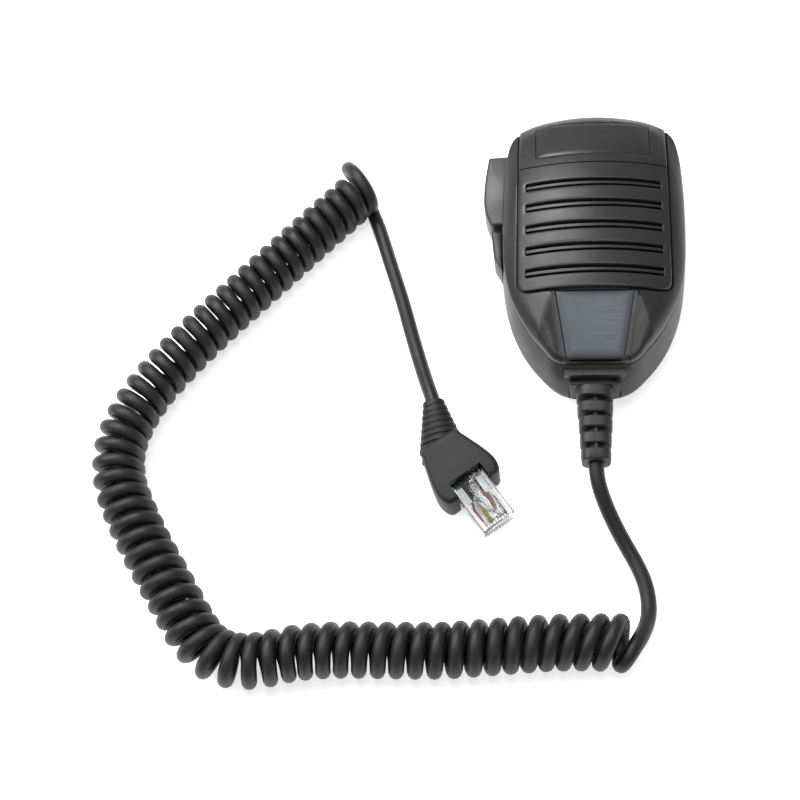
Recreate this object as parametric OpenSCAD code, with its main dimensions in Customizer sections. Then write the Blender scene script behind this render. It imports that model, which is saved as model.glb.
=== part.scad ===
// Hand microphone for a mobile radio, with its curly cord and modular plug.
// Millimetres. The handset lies on its back: +Z is up out of the grille, +Y runs towards
// the top of the handset, and the origin is the middle of the hang button's outer face.

/* [Handset body] */
// Width of the handset across its two sides
body_w = 60.6; // [50:0.2:73]
// Length of the handset from its top end to its cable end
body_l = 100; // [94:0.5:120]
// Thickness of the handset from its back face to the crown of its grille
body_t = 28; // [27:0.5:34]
// Depth of the rear shell, from its back face to the parting line
rear_depth = 16.5; // [16:0.25:18]
// Wall thickness of both shells
wall = 2; // [1.6:0.1:2.4]
// Radius of the crown across the grille
crown_r = 75; // [60:1:90]
// Height of the raised grille panel above the shoulders
panel_step = 0.9; // [0.6:0.1:1.2]
// Half width of the raised grille panel
panel_half_w = 24.4; // [20:0.2:25]

/* [Grille] */
// Number of louvre slots
slot_count = 5; // [3:1:5]
// Distance from one louvre slot to the next
slot_pitch = 8.1; // [7:0.1:8.5]
// Height of one louvre slot
slot_h = 3; // [2.4:0.1:3.6]
// Length of one louvre slot
slot_l = 44; // [34:0.5:45]
// Depth of the slat in a louvre slot below the panel
slat_drop = 1.3; // [1:0.1:1.6]

/* [Push-to-talk] */
// Length of the push-to-talk bar
ptt_l = 27.4; // [26:0.2:30]
// Distance that the bar stands out from the side of the handset
ptt_proud = 6.2; // [5:0.1:7]
// Width of the bar, across the handset's thickness
ptt_w = 12.4; // [10:0.2:12.6]
// Diameter of the bar's hinge pin
pin_d = 2; // [1.6:0.1:2.4]
// Running clearance between the pin and its bores, on the radius
pin_gap = 0.05; // [0.02:0.01:0.1]
// Clearance round the bar in its window
ptt_gap = 0.4; // [0.3:0.05:0.6]
// Diameter of the switch's plunger
plunger_d = 2.4; // [2:0.1:3]

/* [Fasteners] */
// Diameter of the case screws' thread
screw_d = 2.6; // [2.2:0.1:3]
// Diameter of the small screws' thread
small_screw_d = 2; // [1.8:0.1:2.2]
// Squeeze of a thread in its pilot hole, on the diameter
thread_bite = 0.3; // [0.2:0.05:0.4]
// Diameter of the hang button's head
button_d = 13; // [11:0.5:15]
// Distance that the hang button stands out from the back
button_h = 5; // [4.5:0.25:6]

/* [Cord] */
// Diameter of the cord's jacket
cord_d = 4.8; // [4:0.1:5.2]
// Outer diameter of the coiled stretch
coil_d = 18; // [16:0.5:18]
// Height of the strain relief's axis above the surface
relief_z = 12.5; // [12:0.25:13]
// Length of the strain relief outside the handset
relief_l = 25; // [22:0.5:28]

/* [Plug] */
// Width of the modular plug
plug_w = 11.68; // [9.65:0.01:11.68]
// Length of the modular plug
plug_l = 21.46; // [20:0.01:22]
// Height of the modular plug without its latch
plug_h = 6.6; // [6:0.1:7]
// Number of contacts
contact_count = 8; // [4:1:8]
// Distance from one contact to the next
contact_pitch = 1.02; // [0.9:0.01:1.05]

/* [Hidden] */
$fn = 48;
eps = 0.01;
far = 200;

// Levels of the handset
back_z = button_h;
part_z = back_z + rear_depth;
top_z = back_z + body_t;
floor_z = back_z + wall;

// Half outlines of the case from its top end round its right side to its cable end, as
// places on a case 60.6 wide and 100 long: the widest girth, and the parting line.
girth_half = [
    [0, 49.5], [11, 48.7], [20.5, 46.3], [26.8, 42], [29.4, 34], [30.3, 20], [30.3, 5],
    [30, -9], [28, -22], [23.8, -33.5], [17.8, -42.5], [10.5, -49], [0, -50.5]
];
parting_half = [
    [0, 49.5], [11, 48.6], [20.2, 46.1], [26.2, 41.7], [28.8, 33.5], [29.8, 20], [29.9, 5],
    [29.3, -9], [27, -20.5], [22.6, -30.5], [17.2, -38.5], [11.5, -43.9], [0, -44.5]
];
case_steps = 2;
sx = body_w / 60.6;
sy = body_l / 100;
// A longer case grows towards its top end, away from the cord
mid_y = 50.5 * (sy - 1);
top_end_y = 49.5 * sy + mid_y;
lip_y = -44.5 * sy + mid_y;

// Rounding of the case: how far each ring lies in from the outline, and how far below
rear_girth_z = back_z + 4.5;
edge_round = 3;
edge_insets = [0.15, 0.9, 2.4, 5];
edge_drops = [4, 2, 0.7, 0];
cap_shares = [0.35, 0.7];

// Lengthwise shape of the crown
crown_y = top_end_y - 37.5;
end_r = 95;
low_r = 600;
panel_low_y = -21.4;
panel_high_y = top_end_y - 3.5;

// Sloped lower face, with its bevelled cheeks
face_slope = 15;
face_top_z = top_z - 2.6;
cheek_slope = 14;
cheek_lean = 8.5;
cheek_x = 14.4;

// Blank badge plate on the lower face
badge_top_y = -22;
badge_l = 21.5;
badge_top_half = 12.7;
badge_low_half = 9.2;
badge_t = 1;
badge_inset = 0.5;
plate_gap = 0.15;

// Blank label plate at the top of the panel
label_x = 19;
label_y = [top_end_y - 20.5, top_end_y - 5];
label_t = 0.4;
label_inset = 0.25;
label_seat = 0.1;

// Louvre slots
slot_top_y = 18.6;
slot_gap_top = 1;
slot_gap_low = 0.8;
grid_steps = 8;

// Felt behind the louvres
felt_t = 0.5;
felt_gap = 0.15;
felt_margin = 1;
felt_low_y = slot_top_y - (slot_count - 1) * slot_pitch - slot_h;

// Case screws and their posts
post_x = [18.3 * sx, 16.8 * sx];
post_y = [39.3 * sy + mid_y, -31.6 * sy + mid_y];
post_at = [
    [-post_x[0], post_y[0]], [post_x[0], post_y[0]],
    [-post_x[1], post_y[1]], [post_x[1], post_y[1]]
];
post_r = 3.4;
boss_r = 3.1;
screw_head_r = 2.5;
screw_head_h = 1.9;
screw_sink = 4;
screw_reach = 2.6;
head_gap = 0.3;
screw_gap = 0.2;

// Circuit board and what it carries
board_x = 17.5;
board_low_y = -24;
board_high_y = 28;
board_t = 1.6;
board_z = floor_z + 3;
board_top = board_z + board_t;
board_screw_at = [[-13, 24.5], [13, 24.5], [-14.5, -20], [14.5, -20]];
standoff_r = 2.4;
pan_r = 1.9;
pan_h = 1.3;
board_screw_l = 4.4;

// Microphone element and its rubber holder
element_r = 4.85;
element_h = 6.7;
holder_r = 7;
holder_gap = 0.3;
holder_top = crown_z(0, -holder_r) - panel_step - wall - felt_gap - felt_t - holder_gap;

// Push-to-talk bar, its pin, window and housing lug
side_x = body_w / 2;
ptt_z = [part_z - 0.5 - ptt_w, part_z - 0.5];
ptt_top_y = 36;
ptt_low_y = ptt_top_y - ptt_l;
ptt_outer = side_x + ptt_proud;
pivot_x = -side_x + 5.2;
pivot_y = ptt_top_y - 4;
pivot_r = 2.3;
pivot_boss_r = 3;
pin_z = [back_z + 1.1, part_z + 2.2];
bevel = 2.2;
// Further room below the bar, whose free end swings down as it is pressed
swing_gap = 0.5;
lug_gap = 1.8;
lug_l = 3.6;
lug_proud = [3.2, 1.4];
lip_l = 3;
lip_t = 1.4;
nub_y = pivot_y - 18;
nub_r = 1.2;
nub_x = pivot_x + 2.2;

// Micro switch that the bar presses
switch_x = -board_x;
switch_w = 6;
switch_l = 11;
switch_h = 6.4;
plunger_z = board_top + 4;
plunger_touch = 0.1;
plunger_gap = 0.08;

// Board connector, its plug and the leads
header_w = 14;
header_y = [-22.5, -16.5];
header_z = board_top + 0.1;
header_h = 5.4;
header_wall = 0.8;
wire_plug_y = [-30, -18];
wire_plug_gap = 0.1;
lead_d = 0.8;
lead_pitch = 1.4;
// The leads lie in two staggered rows where they come out of the jacket
lay_pitch = 0.42;
lay_rise = 0.75;
jacket_in_y = -37.5;

// Cable clamp
clamp_y = lip_y + wall + 0.7;
clamp_l = 4;
clamp_x = 7.6;
clamp_post_r = 2.3;
clamp_t = 4;
clamp_half = 10.2;

// Strain relief and its seat in the end wall
seat_y = [-48, -45.6];
seat_half = 9.6;
relief_plate = [16.4, 1.5, 10.6];
relief_neck = [10, 9];
relief_gap = 0.15;
ledge_drop = 1.2;
relief_tip_y = seat_y[0] - relief_plate[1] - relief_l;
relief_ribs = 5;
rib_gap = 1.1;
rib_r = [6, 4.7];
core_r = 3.7;
cord_sides = 8;
coil_sides = 12;
cord_r = cord_d / 2;
lie_z = cord_r;
coil_z = coil_d / 2;

// Route of the lead from the strain relief to the coil
mic_route = [
    [0, relief_tip_y, relief_z], [0.4, -79.5, 11.6], [2.2, -85, 9.2], [5, -91, 6.2],
    [8.6, -97.5, 3.6], [12, -103.5, lie_z], [14.6, -110, lie_z], [15.6, -117, lie_z],
    [14.8, -123.5, lie_z], [12.4, -129, lie_z], [9, -132.6, 3], [5, -134.4, 4.4]
];
// Route of the coil's axis
coil_route = [
    [6.5, -130.5, coil_z], [-11.5, -130.8, coil_z], [-29, -132.2, coil_z],
    [-47, -133.8, coil_z], [-65, -134, coil_z], [-80, -134.2, coil_z],
    [-92, -135.4, coil_z], [-102, -137.6, coil_z], [-110, -138, coil_z],
    [-117.5, -135.6, coil_z], [-123.5, -130, coil_z], [-129, -122, coil_z],
    [-136, -111.5, coil_z], [-143.5, -100, coil_z], [-150, -88.5, coil_z],
    [-154, -79.5, coil_z], [-155.5, -69, coil_z], [-153.5, -58.5, coil_z],
    [-148.5, -47.5, coil_z], [-140.5, -36, coil_z], [-130, -23.2, coil_z],
    [-119, -11, coil_z], [-108, 1, coil_z], [-97.5, 12.5, coil_z],
    [-89, 21.5, coil_z], [-82, 29, coil_z]
];
// Route of the lead from the coil to the plug's boot
plug_route = [
    [-80.5, 28.5, 6], [-76.6, 24.6, 3.6], [-73.6, 17, lie_z], [-69.4, 4, lie_z],
    [-65, -9.5, lie_z], [-60.8, -24, lie_z], [-57, -36.5, 3.4], [-54.6, -44, 5.2]
];

// Place and build of the plug and its boot
plug_pos = [-41.3, -77.6, 0];
plug_yaw = -53;
plug_in = 2.7;
plug_z = 3;
plug_top = plug_z + plug_h;
axis_z = plug_z + plug_h / 2;
boot_h = 12.6;
boot_half = [[-14.5, 5.2], [-12.5, 7], [-9, 9.2], [-5, 10.6], [0, 11], [3, 10.4], [5.8, 7.4]];
boot_round = 1.8;
boot_gap = 0.2;
tail_start = [-12.4, 0];
tail_turn = 25;
tail_l = 18;
tail_r = [5, 3.4];
tail_ribs = 8;
tail_groove = 0.6;
tail_end = tail_start + tail_l * [-cos(tail_turn), sin(tail_turn)];
jacket_end = 6.5;
cavity_half = 4.9;
cavity_h = cord_d + 0.4;
blade_t = 0.34;
blade_a = [plug_l - plug_in - 5, plug_l - plug_in - 0.8];
blade_h = 3;
wire_d = 0.8;
wire_z = plug_z + 3.4;
latch_t = 1.1;
latch_root = 1.2;
latch_l = 14.5;
latch_rise = 11;
latch_half = [3, 1.65];
latch_step = 7;

// ---- shape functions

function mix(a, b, t) = a * (1 - t) + b * t;
function unit(v) = v / norm(v);
function closed(half) =
    concat(half, [for (i = [len(half) - 2:-1:1]) [-half[i][0], half[i][1]]]);
function bend(a, b, c, d, t) =
    0.5 * (2 * b + (c - a) * t + (2 * a - 5 * b + 4 * c - d) * t * t
    + (3 * b - a - 3 * c + d) * t * t * t);
function smooth_loop(p, steps) = let (n = len(p))
    [for (i = [0:n - 1], k = [0:steps - 1])
        bend(p[(i + n - 1) % n], p[i], p[(i + 1) % n], p[(i + 2) % n], k / steps)];
function inset_loop(p, d) = let (n = len(p))
    [for (i = [0:n - 1]) let (t = unit(p[(i + 1) % n] - p[(i + n - 1) % n]))
        p[i] + d * [t[1], -t[0]]];
function case_loop(share, inset) = inset_loop([
    for (q = smooth_loop(closed(mix(girth_half, parting_half, share)), case_steps))
        [q[0] * sx, q[1] * sy + mid_y]
], inset);

// Crown of the grille above a place on the handset
function crown_drop(x) = crown_r - sqrt(crown_r * crown_r - x * x);
function end_drop(y) = y > crown_y
    ? (y - crown_y) * (y - crown_y) / (2 * end_r)
    : (y - crown_y) * (y - crown_y) / (2 * low_r);
function crown_z(x, y) = top_z - crown_drop(x) - end_drop(y);

// Skin of a loft: rings of the same number of points, flat first ring, domed last ring
module loft(rings) {
    n = len(rings[0]);
    m = len(rings);
    middle = [for (i = [0:2]) let (s = [for (p = rings[m - 1]) p[i]]) (min(s) + max(s)) / 2];
    top = concat([for (r = rings, p = r) p], [middle]);
    faces = concat(
        [[for (i = [n - 1:-1:0]) i]],
        [for (k = [0:m - 2], i = [0:n - 1]) [k * n + i, k * n + (i + 1) % n, (k + 1) * n + i]],
        [for (k = [0:m - 2], i = [0:n - 1])
            [k * n + (i + 1) % n, (k + 1) * n + (i + 1) % n, (k + 1) * n + i]],
        [for (i = [0:n - 1]) [(m - 1) * n + i, (m - 1) * n + (i + 1) % n, m * n]]
    );
    polyhedron(points = top, faces = faces, convexity = 4);
}

// Tube swept along a route
function heading(route, i) = unit(route[min(i + 1, len(route) - 1)] - route[max(i - 1, 0)]);
module tube(route, d, sides) {
    m = len(route);
    points = [
        for (i = [0:m - 1])
            let (t = heading(route, i), s = unit(cross(t, [0, 0, 1])), u = cross(s, t))
            for (k = [0:sides - 1])
                let (a = 360 * (k + 0.5) / sides)
                route[i] + d / 2 * (cos(a) * s + sin(a) * u)
    ];
    sides_faces = [
        for (i = [0:m - 2], k = [0:sides - 1])
            let (a = i * sides + k, b = i * sides + (k + 1) % sides)
            each [[a, b, a + sides], [b, b + sides, a + sides]]
    ];
    ends = [[for (k = [sides - 1:-1:0]) k], [for (k = [0:sides - 1]) (m - 1) * sides + k]];
    polyhedron(points = points, faces = concat(sides_faces, ends), convexity = 6);
}

// Sheet that follows the crown, from one depth below it to another
module crown_sheet(x, y, from, to) {
    nx = grid_steps;
    ny = max(1, round((y[1] - y[0]) / 6));
    places = [for (j = [0:ny], i = [0:nx]) [mix(-x, x, i / nx), mix(y[0], y[1], j / ny)]];
    count = len(places);
    low = [for (p = places) [p[0], p[1], crown_z(p[0], p[1]) - from]];
    high = [for (p = places) [p[0], p[1], crown_z(p[0], p[1]) - to]];
    row = nx + 1;
    cells = [for (j = [0:ny - 1], i = [0:nx - 1]) j * row + i];
    rim = concat(
        [for (i = [0:nx]) i], [for (j = [1:ny]) j * row + nx],
        [for (i = [nx - 1:-1:0]) ny * row + i], [for (j = [ny - 1:-1:1]) j * row]
    );
    r = len(rim);
    faces = concat(
        [for (c = cells) each [[c, c + 1, c + row], [c + 1, c + row + 1, c + row]]],
        [for (c = cells) each [
            [count + c, count + c + row, count + c + 1],
            [count + c + 1, count + c + row, count + c + row + 1]
        ]],
        [for (i = [0:r - 1]) let (a = rim[i], b = rim[(i + 1) % r])
            each [[a, count + a, b], [b, count + a, count + b]]]
    );
    polyhedron(points = concat(low, high), faces = faces, convexity = 4);
}

// ---- case

// Rings of the rear half at one inset: the back face, its rounded edge and the parting line
module rear_form(inset, low) {
    floor_in = inset + edge_round;
    loft([
        [for (p = case_loop(0, floor_in)) [p[0], p[1], low]],
        [for (p = case_loop(0, inset + 0.8)) [p[0], p[1], low + 1.4]],
        [for (p = case_loop(0, inset)) [p[0], p[1], rear_girth_z]],
        [for (p = case_loop(0.45, inset)) [p[0], p[1], mix(rear_girth_z, part_z, 0.6)]],
        [for (p = case_loop(1, inset)) [p[0], p[1], part_z]]
    ]);
}

// Front half at one inset: straight from the parting line, rounded over, then domed
module front_dome(inset, drop) {
    rim = case_loop(1, inset);
    edge = [for (k = [0:3]) [
        for (p = case_loop(1, inset + edge_insets[k]))
            [p[0], p[1], max(part_z + 0.4 + 0.25 * k, crown_z(p[0], p[1]) - drop - edge_drops[k])]
    ]];
    cap = [for (s = cap_shares) [
        for (p = case_loop(1, inset + edge_insets[3]))
            let (x = p[0] * (1 - s), y = mid_y + (p[1] - mid_y) * (1 - 0.6 * s))
            [x, y, crown_z(x, y) - drop]
    ]];
    base = inset > 0 ? part_z - eps : part_z;
    loft(concat([[for (p = rim) [p[0], p[1], base]]], edge, cap));
}

// Space above the sloped lower face and its two cheeks
module lower_face_cut(depth) {
    translate([0, panel_low_y, face_top_z - depth])
        rotate([face_slope, 0, 0]) {
            translate([-far / 2, -far, 0]) cube([far, far, far / 4]);
            for (side = [-1, 1])
                translate([side * cheek_x, 0, 0])
                    rotate([0, 0, -side * cheek_lean])
                        rotate([0, side * cheek_slope, 0])
                            translate([side > 0 ? 0 : -far, -far, 0]) cube([far, far * 1.1, far / 4]);
        }
}

module front_form(inset, drop) {
    difference() {
        front_dome(inset, drop);
        intersection() {
            lower_face_cut(inset);
            translate([-far / 2, panel_low_y - far, 0]) cube([far, far, far / 2]);
        }
    }
}

module raised_panel() {
    intersection() {
        crown_sheet(panel_half_w, [panel_low_y, panel_high_y], panel_step + wall, 0);
        translate([0, 0, part_z]) linear_extrude(far / 4) polygon(case_loop(1, 1.6));
    }
}

module louvre_slots() {
    for (i = [0:slot_count - 1]) {
        high = slot_top_y - i * slot_pitch;
        low = high - slot_h;
        crown_sheet(slot_l / 2, [low, high], slat_drop, -2);
        translate([-slot_l / 2, high - slot_gap_top, part_z + 1])
            cube([slot_l, slot_gap_top - eps, far / 8]);
        translate([-slot_l / 2, low + eps, part_z + 1]) cube([slot_l, slot_gap_low, far / 8]);
    }
}

// Places one piece on the sloped lower face, z up out of the face
module on_lower_face() {
    translate([0, panel_low_y, face_top_z]) rotate([face_slope, 0, 0]) children();
}

module badge_outline(grow) {
    polygon([
        [-badge_top_half - grow, grow], [badge_top_half + grow, grow],
        [badge_low_half + grow, -badge_l - grow], [-badge_low_half - grow, -badge_l - grow]
    ]);
}

module badge_pocket() {
    on_lower_face() translate([0, badge_top_y - panel_low_y, -badge_inset - badge_t])
        linear_extrude(badge_inset + badge_t + 1) badge_outline(plate_gap);
}

// Wedge on the side wall that guards the lower end of the push-to-talk bar
module ptt_lug(z0, z1) {
    high = ptt_low_y - lug_gap;
    translate([0, 0, z0]) linear_extrude(z1 - z0) polygon([
        [-side_x + 1.2, high], [-side_x - lug_proud[0], high],
        [-side_x - lug_proud[1], high - lug_l], [-side_x + 1.2, high - lug_l - 0.8]
    ]);
}

module relief_tongue() {
    half = relief_neck[0] / 2 - relief_gap;
    low = relief_z + relief_neck[1] / 2 + relief_gap;
    inner_y = lip_y + wall - 0.2;
    translate([-half, seat_y[0] + 1.2, low])
        cube([2 * half, inner_y - seat_y[0] - 1.2, part_z - ledge_drop - low]);
    translate([-half, lip_y + 0.3, low]) cube([2 * half, inner_y - lip_y - 0.3, part_z - low + 1.6]);
}

module front_shell() {
    color("#3b3b3e") difference() {
        union() {
            difference() {
                union() {
                    front_form(0, panel_step);
                    raised_panel();
                }
                difference() {
                    front_form(wall, panel_step + wall);
                    // solid behind the badge plate
                    on_lower_face() translate([-badge_top_half - 2, -badge_l - 3, -badge_t - 3])
                        cube([2 * badge_top_half + 4, badge_l + 3, 5]);
                }
                louvre_slots();
                badge_pocket();
                crown_sheet(label_x, label_y, label_inset + label_t + label_seat, -2);
                felt_recess();
            }
            intersection() {
                union() {
                    for (at = post_at)
                        translate([at[0], at[1], part_z]) cylinder(r = boss_r, h = far / 10);
                    translate([pivot_x, pivot_y, part_z])
                        cylinder(r = pivot_boss_r, h = far / 10);
                }
                front_form(wall / 2, panel_step + wall / 2);
            }
            relief_tongue();
        }
        for (at = post_at)
            translate([at[0], at[1], part_z - 1])
                cylinder(d = screw_d - thread_bite, h = screw_reach + 1.4);
        translate([pivot_x, pivot_y, part_z - 1])
            cylinder(r = pin_d / 2 + pin_gap, h = pin_z[1] - part_z + 1.1);
    }
}

module rear_shell() {
    color("#434346") difference() {
        union() {
            difference() {
                union() {
                    rear_form(0, back_z);
                    ptt_lug(ptt_z[0], part_z);
                }
                difference() {
                    translate([0, 0, 0.001]) rear_form(wall, floor_z);
                    // solid block round the strain relief's seat
                    translate([-seat_half, seat_y[0] - 3, 0])
                        cube([2 * seat_half, seat_y[1] - seat_y[0] + 3, far]);
                }
                // window for the bar
                translate([-side_x - 1, ptt_low_y - ptt_gap - swing_gap, ptt_z[0] - ptt_gap])
                    cube([wall + 4, ptt_l + 2 * ptt_gap + swing_gap, far / 8]);
            }
            for (at = post_at)
                translate([at[0], at[1], back_z + 1]) cylinder(r = post_r, h = rear_depth - 1);
            for (at = board_screw_at)
                translate([at[0], at[1], back_z + 1])
                    cylinder(r = standoff_r, h = board_z - back_z - 1);
            for (side = [-1, 1])
                translate([side * clamp_x, clamp_y, back_z + 1])
                    cylinder(r = clamp_post_r, h = relief_z - back_z - 1);
            translate([-clamp_x, clamp_y - 1.2, back_z + 1])
                cube([2 * clamp_x, 2.4, relief_z - back_z - 1]);
            translate([pivot_x, pivot_y, back_z + 1])
                cylinder(r = pivot_boss_r, h = ptt_z[0] - 0.3 - back_z - 1);
        }
        // case screws: clearance bores and sunk heads
        for (at = post_at) {
            translate([at[0], at[1], 0]) cylinder(d = screw_d + 2 * screw_gap, h = far / 4);
            translate([at[0], at[1], 0]) cylinder(r = screw_head_r + head_gap, h = back_z + screw_sink);
        }
        for (at = board_screw_at)
            translate([at[0], at[1], board_z - 3.2])
                cylinder(d = small_screw_d - thread_bite, h = 4);
        for (side = [-1, 1])
            translate([side * clamp_x, clamp_y, relief_z - 4])
                cylinder(d = small_screw_d - thread_bite, h = 5);
        // cradle for the jacket under the clamp
        translate([0, clamp_y - 3, relief_z]) rotate([-90, 0, 0]) cylinder(d = cord_d, h = 6);
        translate([pivot_x, pivot_y, pin_z[0]]) cylinder(r = pin_d / 2 + pin_gap, h = far / 8);
        // seat of the strain relief: outer plate and neck, open up to the parting line
        translate([-relief_plate[0] / 2 - relief_gap, -far, relief_z - relief_plate[2] / 2 - relief_gap])
            cube([relief_plate[0] + 2 * relief_gap, far + seat_y[0], relief_plate[2] + 2 * relief_gap]);
        translate([-relief_neck[0] / 2 - relief_gap, -far / 2, relief_z - relief_neck[1] / 2 - relief_gap])
            cube([relief_neck[0] + 2 * relief_gap, far / 2 + lip_y + wall + 0.4, far / 8]);
        // hang button's screw and shallow seat
        translate([0, 0, back_z - 1]) cylinder(d = button_d - 3, h = 1.4);
        translate([0, 0, back_z - 1]) cylinder(d = screw_d - thread_bite, h = 6);
    }
}

module badge_plate() {
    color("#4a5058") on_lower_face()
        translate([0, badge_top_y - panel_low_y, -badge_inset - badge_t])
            linear_extrude(badge_t) badge_outline(0);
}

module top_label_plate() {
    color("#454548") crown_sheet(
        label_x - plate_gap, [label_y[0] + plate_gap, label_y[1] - plate_gap],
        label_inset + label_t, label_inset
    );
}

// Recess under the grille that leaves the wall an even thickness over the felt
module felt_recess() {
    depth = panel_step + wall;
    crown_sheet(
        slot_l / 2 + felt_margin,
        [felt_low_y - 2 * felt_margin, slot_top_y + 2 * felt_margin],
        depth + felt_t + 1, depth
    );
}

module dust_felt() {
    depth = panel_step + wall + felt_gap;
    color("#1c1c1e") crown_sheet(
        slot_l / 2, [felt_low_y - felt_margin, slot_top_y + felt_margin],
        depth + felt_t, depth
    );
}

// ---- fasteners

// Pan-head screw, head upwards, its seat at z = 0
module pan_screw(d, l, head_r, head_h) {
    rotate_extrude() polygon([
        [0, -l], [d / 2 - 0.4, -l], [d / 2, -l + 0.7], [d / 2, 0], [head_r, 0],
        [head_r, head_h * 0.55], [head_r * 0.72, head_h], [0, head_h]
    ]);
}

// Cross recess sunk in a screw's head
module cross_recess(head_r, top) {
    for (a = [0, 90])
        rotate([0, 0, a]) translate([-head_r * 0.55, -0.28, top - 0.8]) cube([head_r * 1.1, 0.56, 2]);
}

module screw(d, l, head_r, head_h) {
    difference() {
        pan_screw(d, l, head_r, head_h);
        cross_recess(head_r, head_h);
    }
}

module case_screws() {
    color("#5c5c60") for (at = post_at)
        translate([at[0], at[1], back_z + screw_sink])
            mirror([0, 0, 1])
                screw(screw_d, rear_depth - screw_sink + screw_reach, screw_head_r, screw_head_h);
}

module board_screws() {
    color("#b9bcc2") for (at = board_screw_at)
        translate([at[0], at[1], board_top]) screw(small_screw_d, board_screw_l, pan_r, pan_h);
}

module clamp_screws() {
    color("#b9bcc2") for (side = [-1, 1])
        translate([side * clamp_x, clamp_y, relief_z + clamp_t])
            screw(small_screw_d, clamp_t + 3, pan_r, pan_h);
}

// Mushroom stud that hangs in a dashboard clip
module hang_button() {
    neck_r = button_d / 2 - 2.2;
    head_h = 2;
    color("#2b2b2d") rotate_extrude() polygon([
        [screw_d / 2 + 0.2, 1.9], [screw_d / 2 + 0.2, back_z + 0.4], [button_d / 2 - 1.6, back_z + 0.4],
        [neck_r, back_z], [neck_r, head_h + 0.4], [button_d / 2 - 0.2, head_h],
        [button_d / 2, head_h - 0.4], [button_d / 2, 0], [screw_head_r + 0.3, 0], [screw_head_r + 0.3, 1.9]
    ]);
}

module hang_button_screw() {
    color("#5c5c60") translate([0, 0, 1.9]) mirror([0, 0, 1])
        screw(screw_d, back_z + 1.6, screw_head_r, 1.5);
}

// ---- electronics

module circuit_board() {
    color("#2f6b3c") difference() {
        translate([-board_x, board_low_y, board_z])
            cube([2 * board_x, board_high_y - board_low_y, board_t]);
        for (at = board_screw_at)
            translate([at[0], at[1], board_z - 1]) cylinder(d = small_screw_d + 0.3, h = board_t + 2);
    }
}

module element_holder() {
    color("#242426") difference() {
        translate([0, 0, board_top]) cylinder(r = holder_r, h = holder_top - board_top);
        translate([0, 0, holder_top - element_h - 0.6]) cylinder(r = element_r, h = element_h + 1);
        translate([0, 0, board_top - 1]) cylinder(r = 2.5, h = far / 8);
    }
}

module mic_element() {
    top = holder_top - 0.6;
    color("#c9ccd0") difference() {
        translate([0, 0, top - element_h]) cylinder(r = element_r, h = element_h);
        translate([0, 0, top - 0.4]) cylinder(r = element_r - 0.9, h = 1);
    }
}

module amplifier_chip() {
    body = [3.9, 4.9, 1.5];
    color("#1f1f21") translate([9, 12, board_top]) {
        translate([-body[0] / 2, -body[1] / 2, 0.15]) cube(body);
        for (side = [-1, 1], i = [0:3])
            translate([side * (body[0] / 2 + 0.45) - 0.6, (i - 1.5) * 1.27 - 0.2, 0])
                cube([1.2, 0.4, 0.6]);
    }
}

module capacitors() {
    color("#3a4a6a") {
        for (at = [[-11.5, -4], [11.5, -1], [11.5, -8]])
            translate([at[0], at[1], board_top]) {
                cylinder(r = 2.5, h = 5.4);
                translate([-2.65, -2.65, 0]) cube([5.3, 5.3, 1]);
            }
        for (i = [0:3])
            translate([-8.6 + i * 3, 19.2, board_top]) cube([1.6, 0.9, 0.8]);
    }
}

module board_connector() {
    color("#e6e2d6") difference() {
        translate([-header_w / 2, header_y[0], board_top])
            cube([header_w, header_y[1] - header_y[0], header_h + 0.1]);
        translate([-header_w / 2 + header_wall, header_y[0] - 1, header_z + header_wall])
            cube([header_w - 2 * header_wall, header_y[1] - header_y[0] - 0.4, header_h - 2 * header_wall]);
    }
}

module wire_plug() {
    half = header_w / 2 - header_wall - wire_plug_gap;
    low = header_z + header_wall + wire_plug_gap;
    high = header_z + header_h - header_wall - wire_plug_gap;
    color("#ece8dc") translate([-half, wire_plug_y[0], low])
        cube([2 * half, wire_plug_y[1] - wire_plug_y[0], high - low]);
}

module inner_leads() {
    plug_mid_z = header_z + header_h / 2;
    colors = ["#b33a34", "#d9b23c", "#3d8a4a", "#3a5fae", "#e8e8e8", "#1f1f20", "#8a5a36", "#d07a35"];
    for (i = [0:7]) {
        x = (i - 3.5) * lead_pitch;
        start = [(i - 3.5) * lay_pitch, jacket_in_y, relief_z + (i % 2 - 0.5) * 2 * lay_rise];
        finish = [x, wire_plug_y[0], plug_mid_z];
        color(colors[i]) tube([
            start, start + [0, 1.5, 0], mix(start, finish, 0.5) + [0, 0, 0.6],
            finish - [0, 1.6, 0], finish
        ], lead_d, 8);
    }
}

// ---- push-to-talk

// Section of the bar across the handset, with its outer edges bevelled
module ptt_section() {
    polygon([
        [-ptt_outer - 1, ptt_z[0] + bevel + 0.6], [-ptt_outer + bevel, ptt_z[0]],
        [0, ptt_z[0]], [0, ptt_z[1]], [-ptt_outer + bevel, ptt_z[1]],
        [-ptt_outer - 1, ptt_z[1] - bevel - 0.6]
    ]);
}

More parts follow.
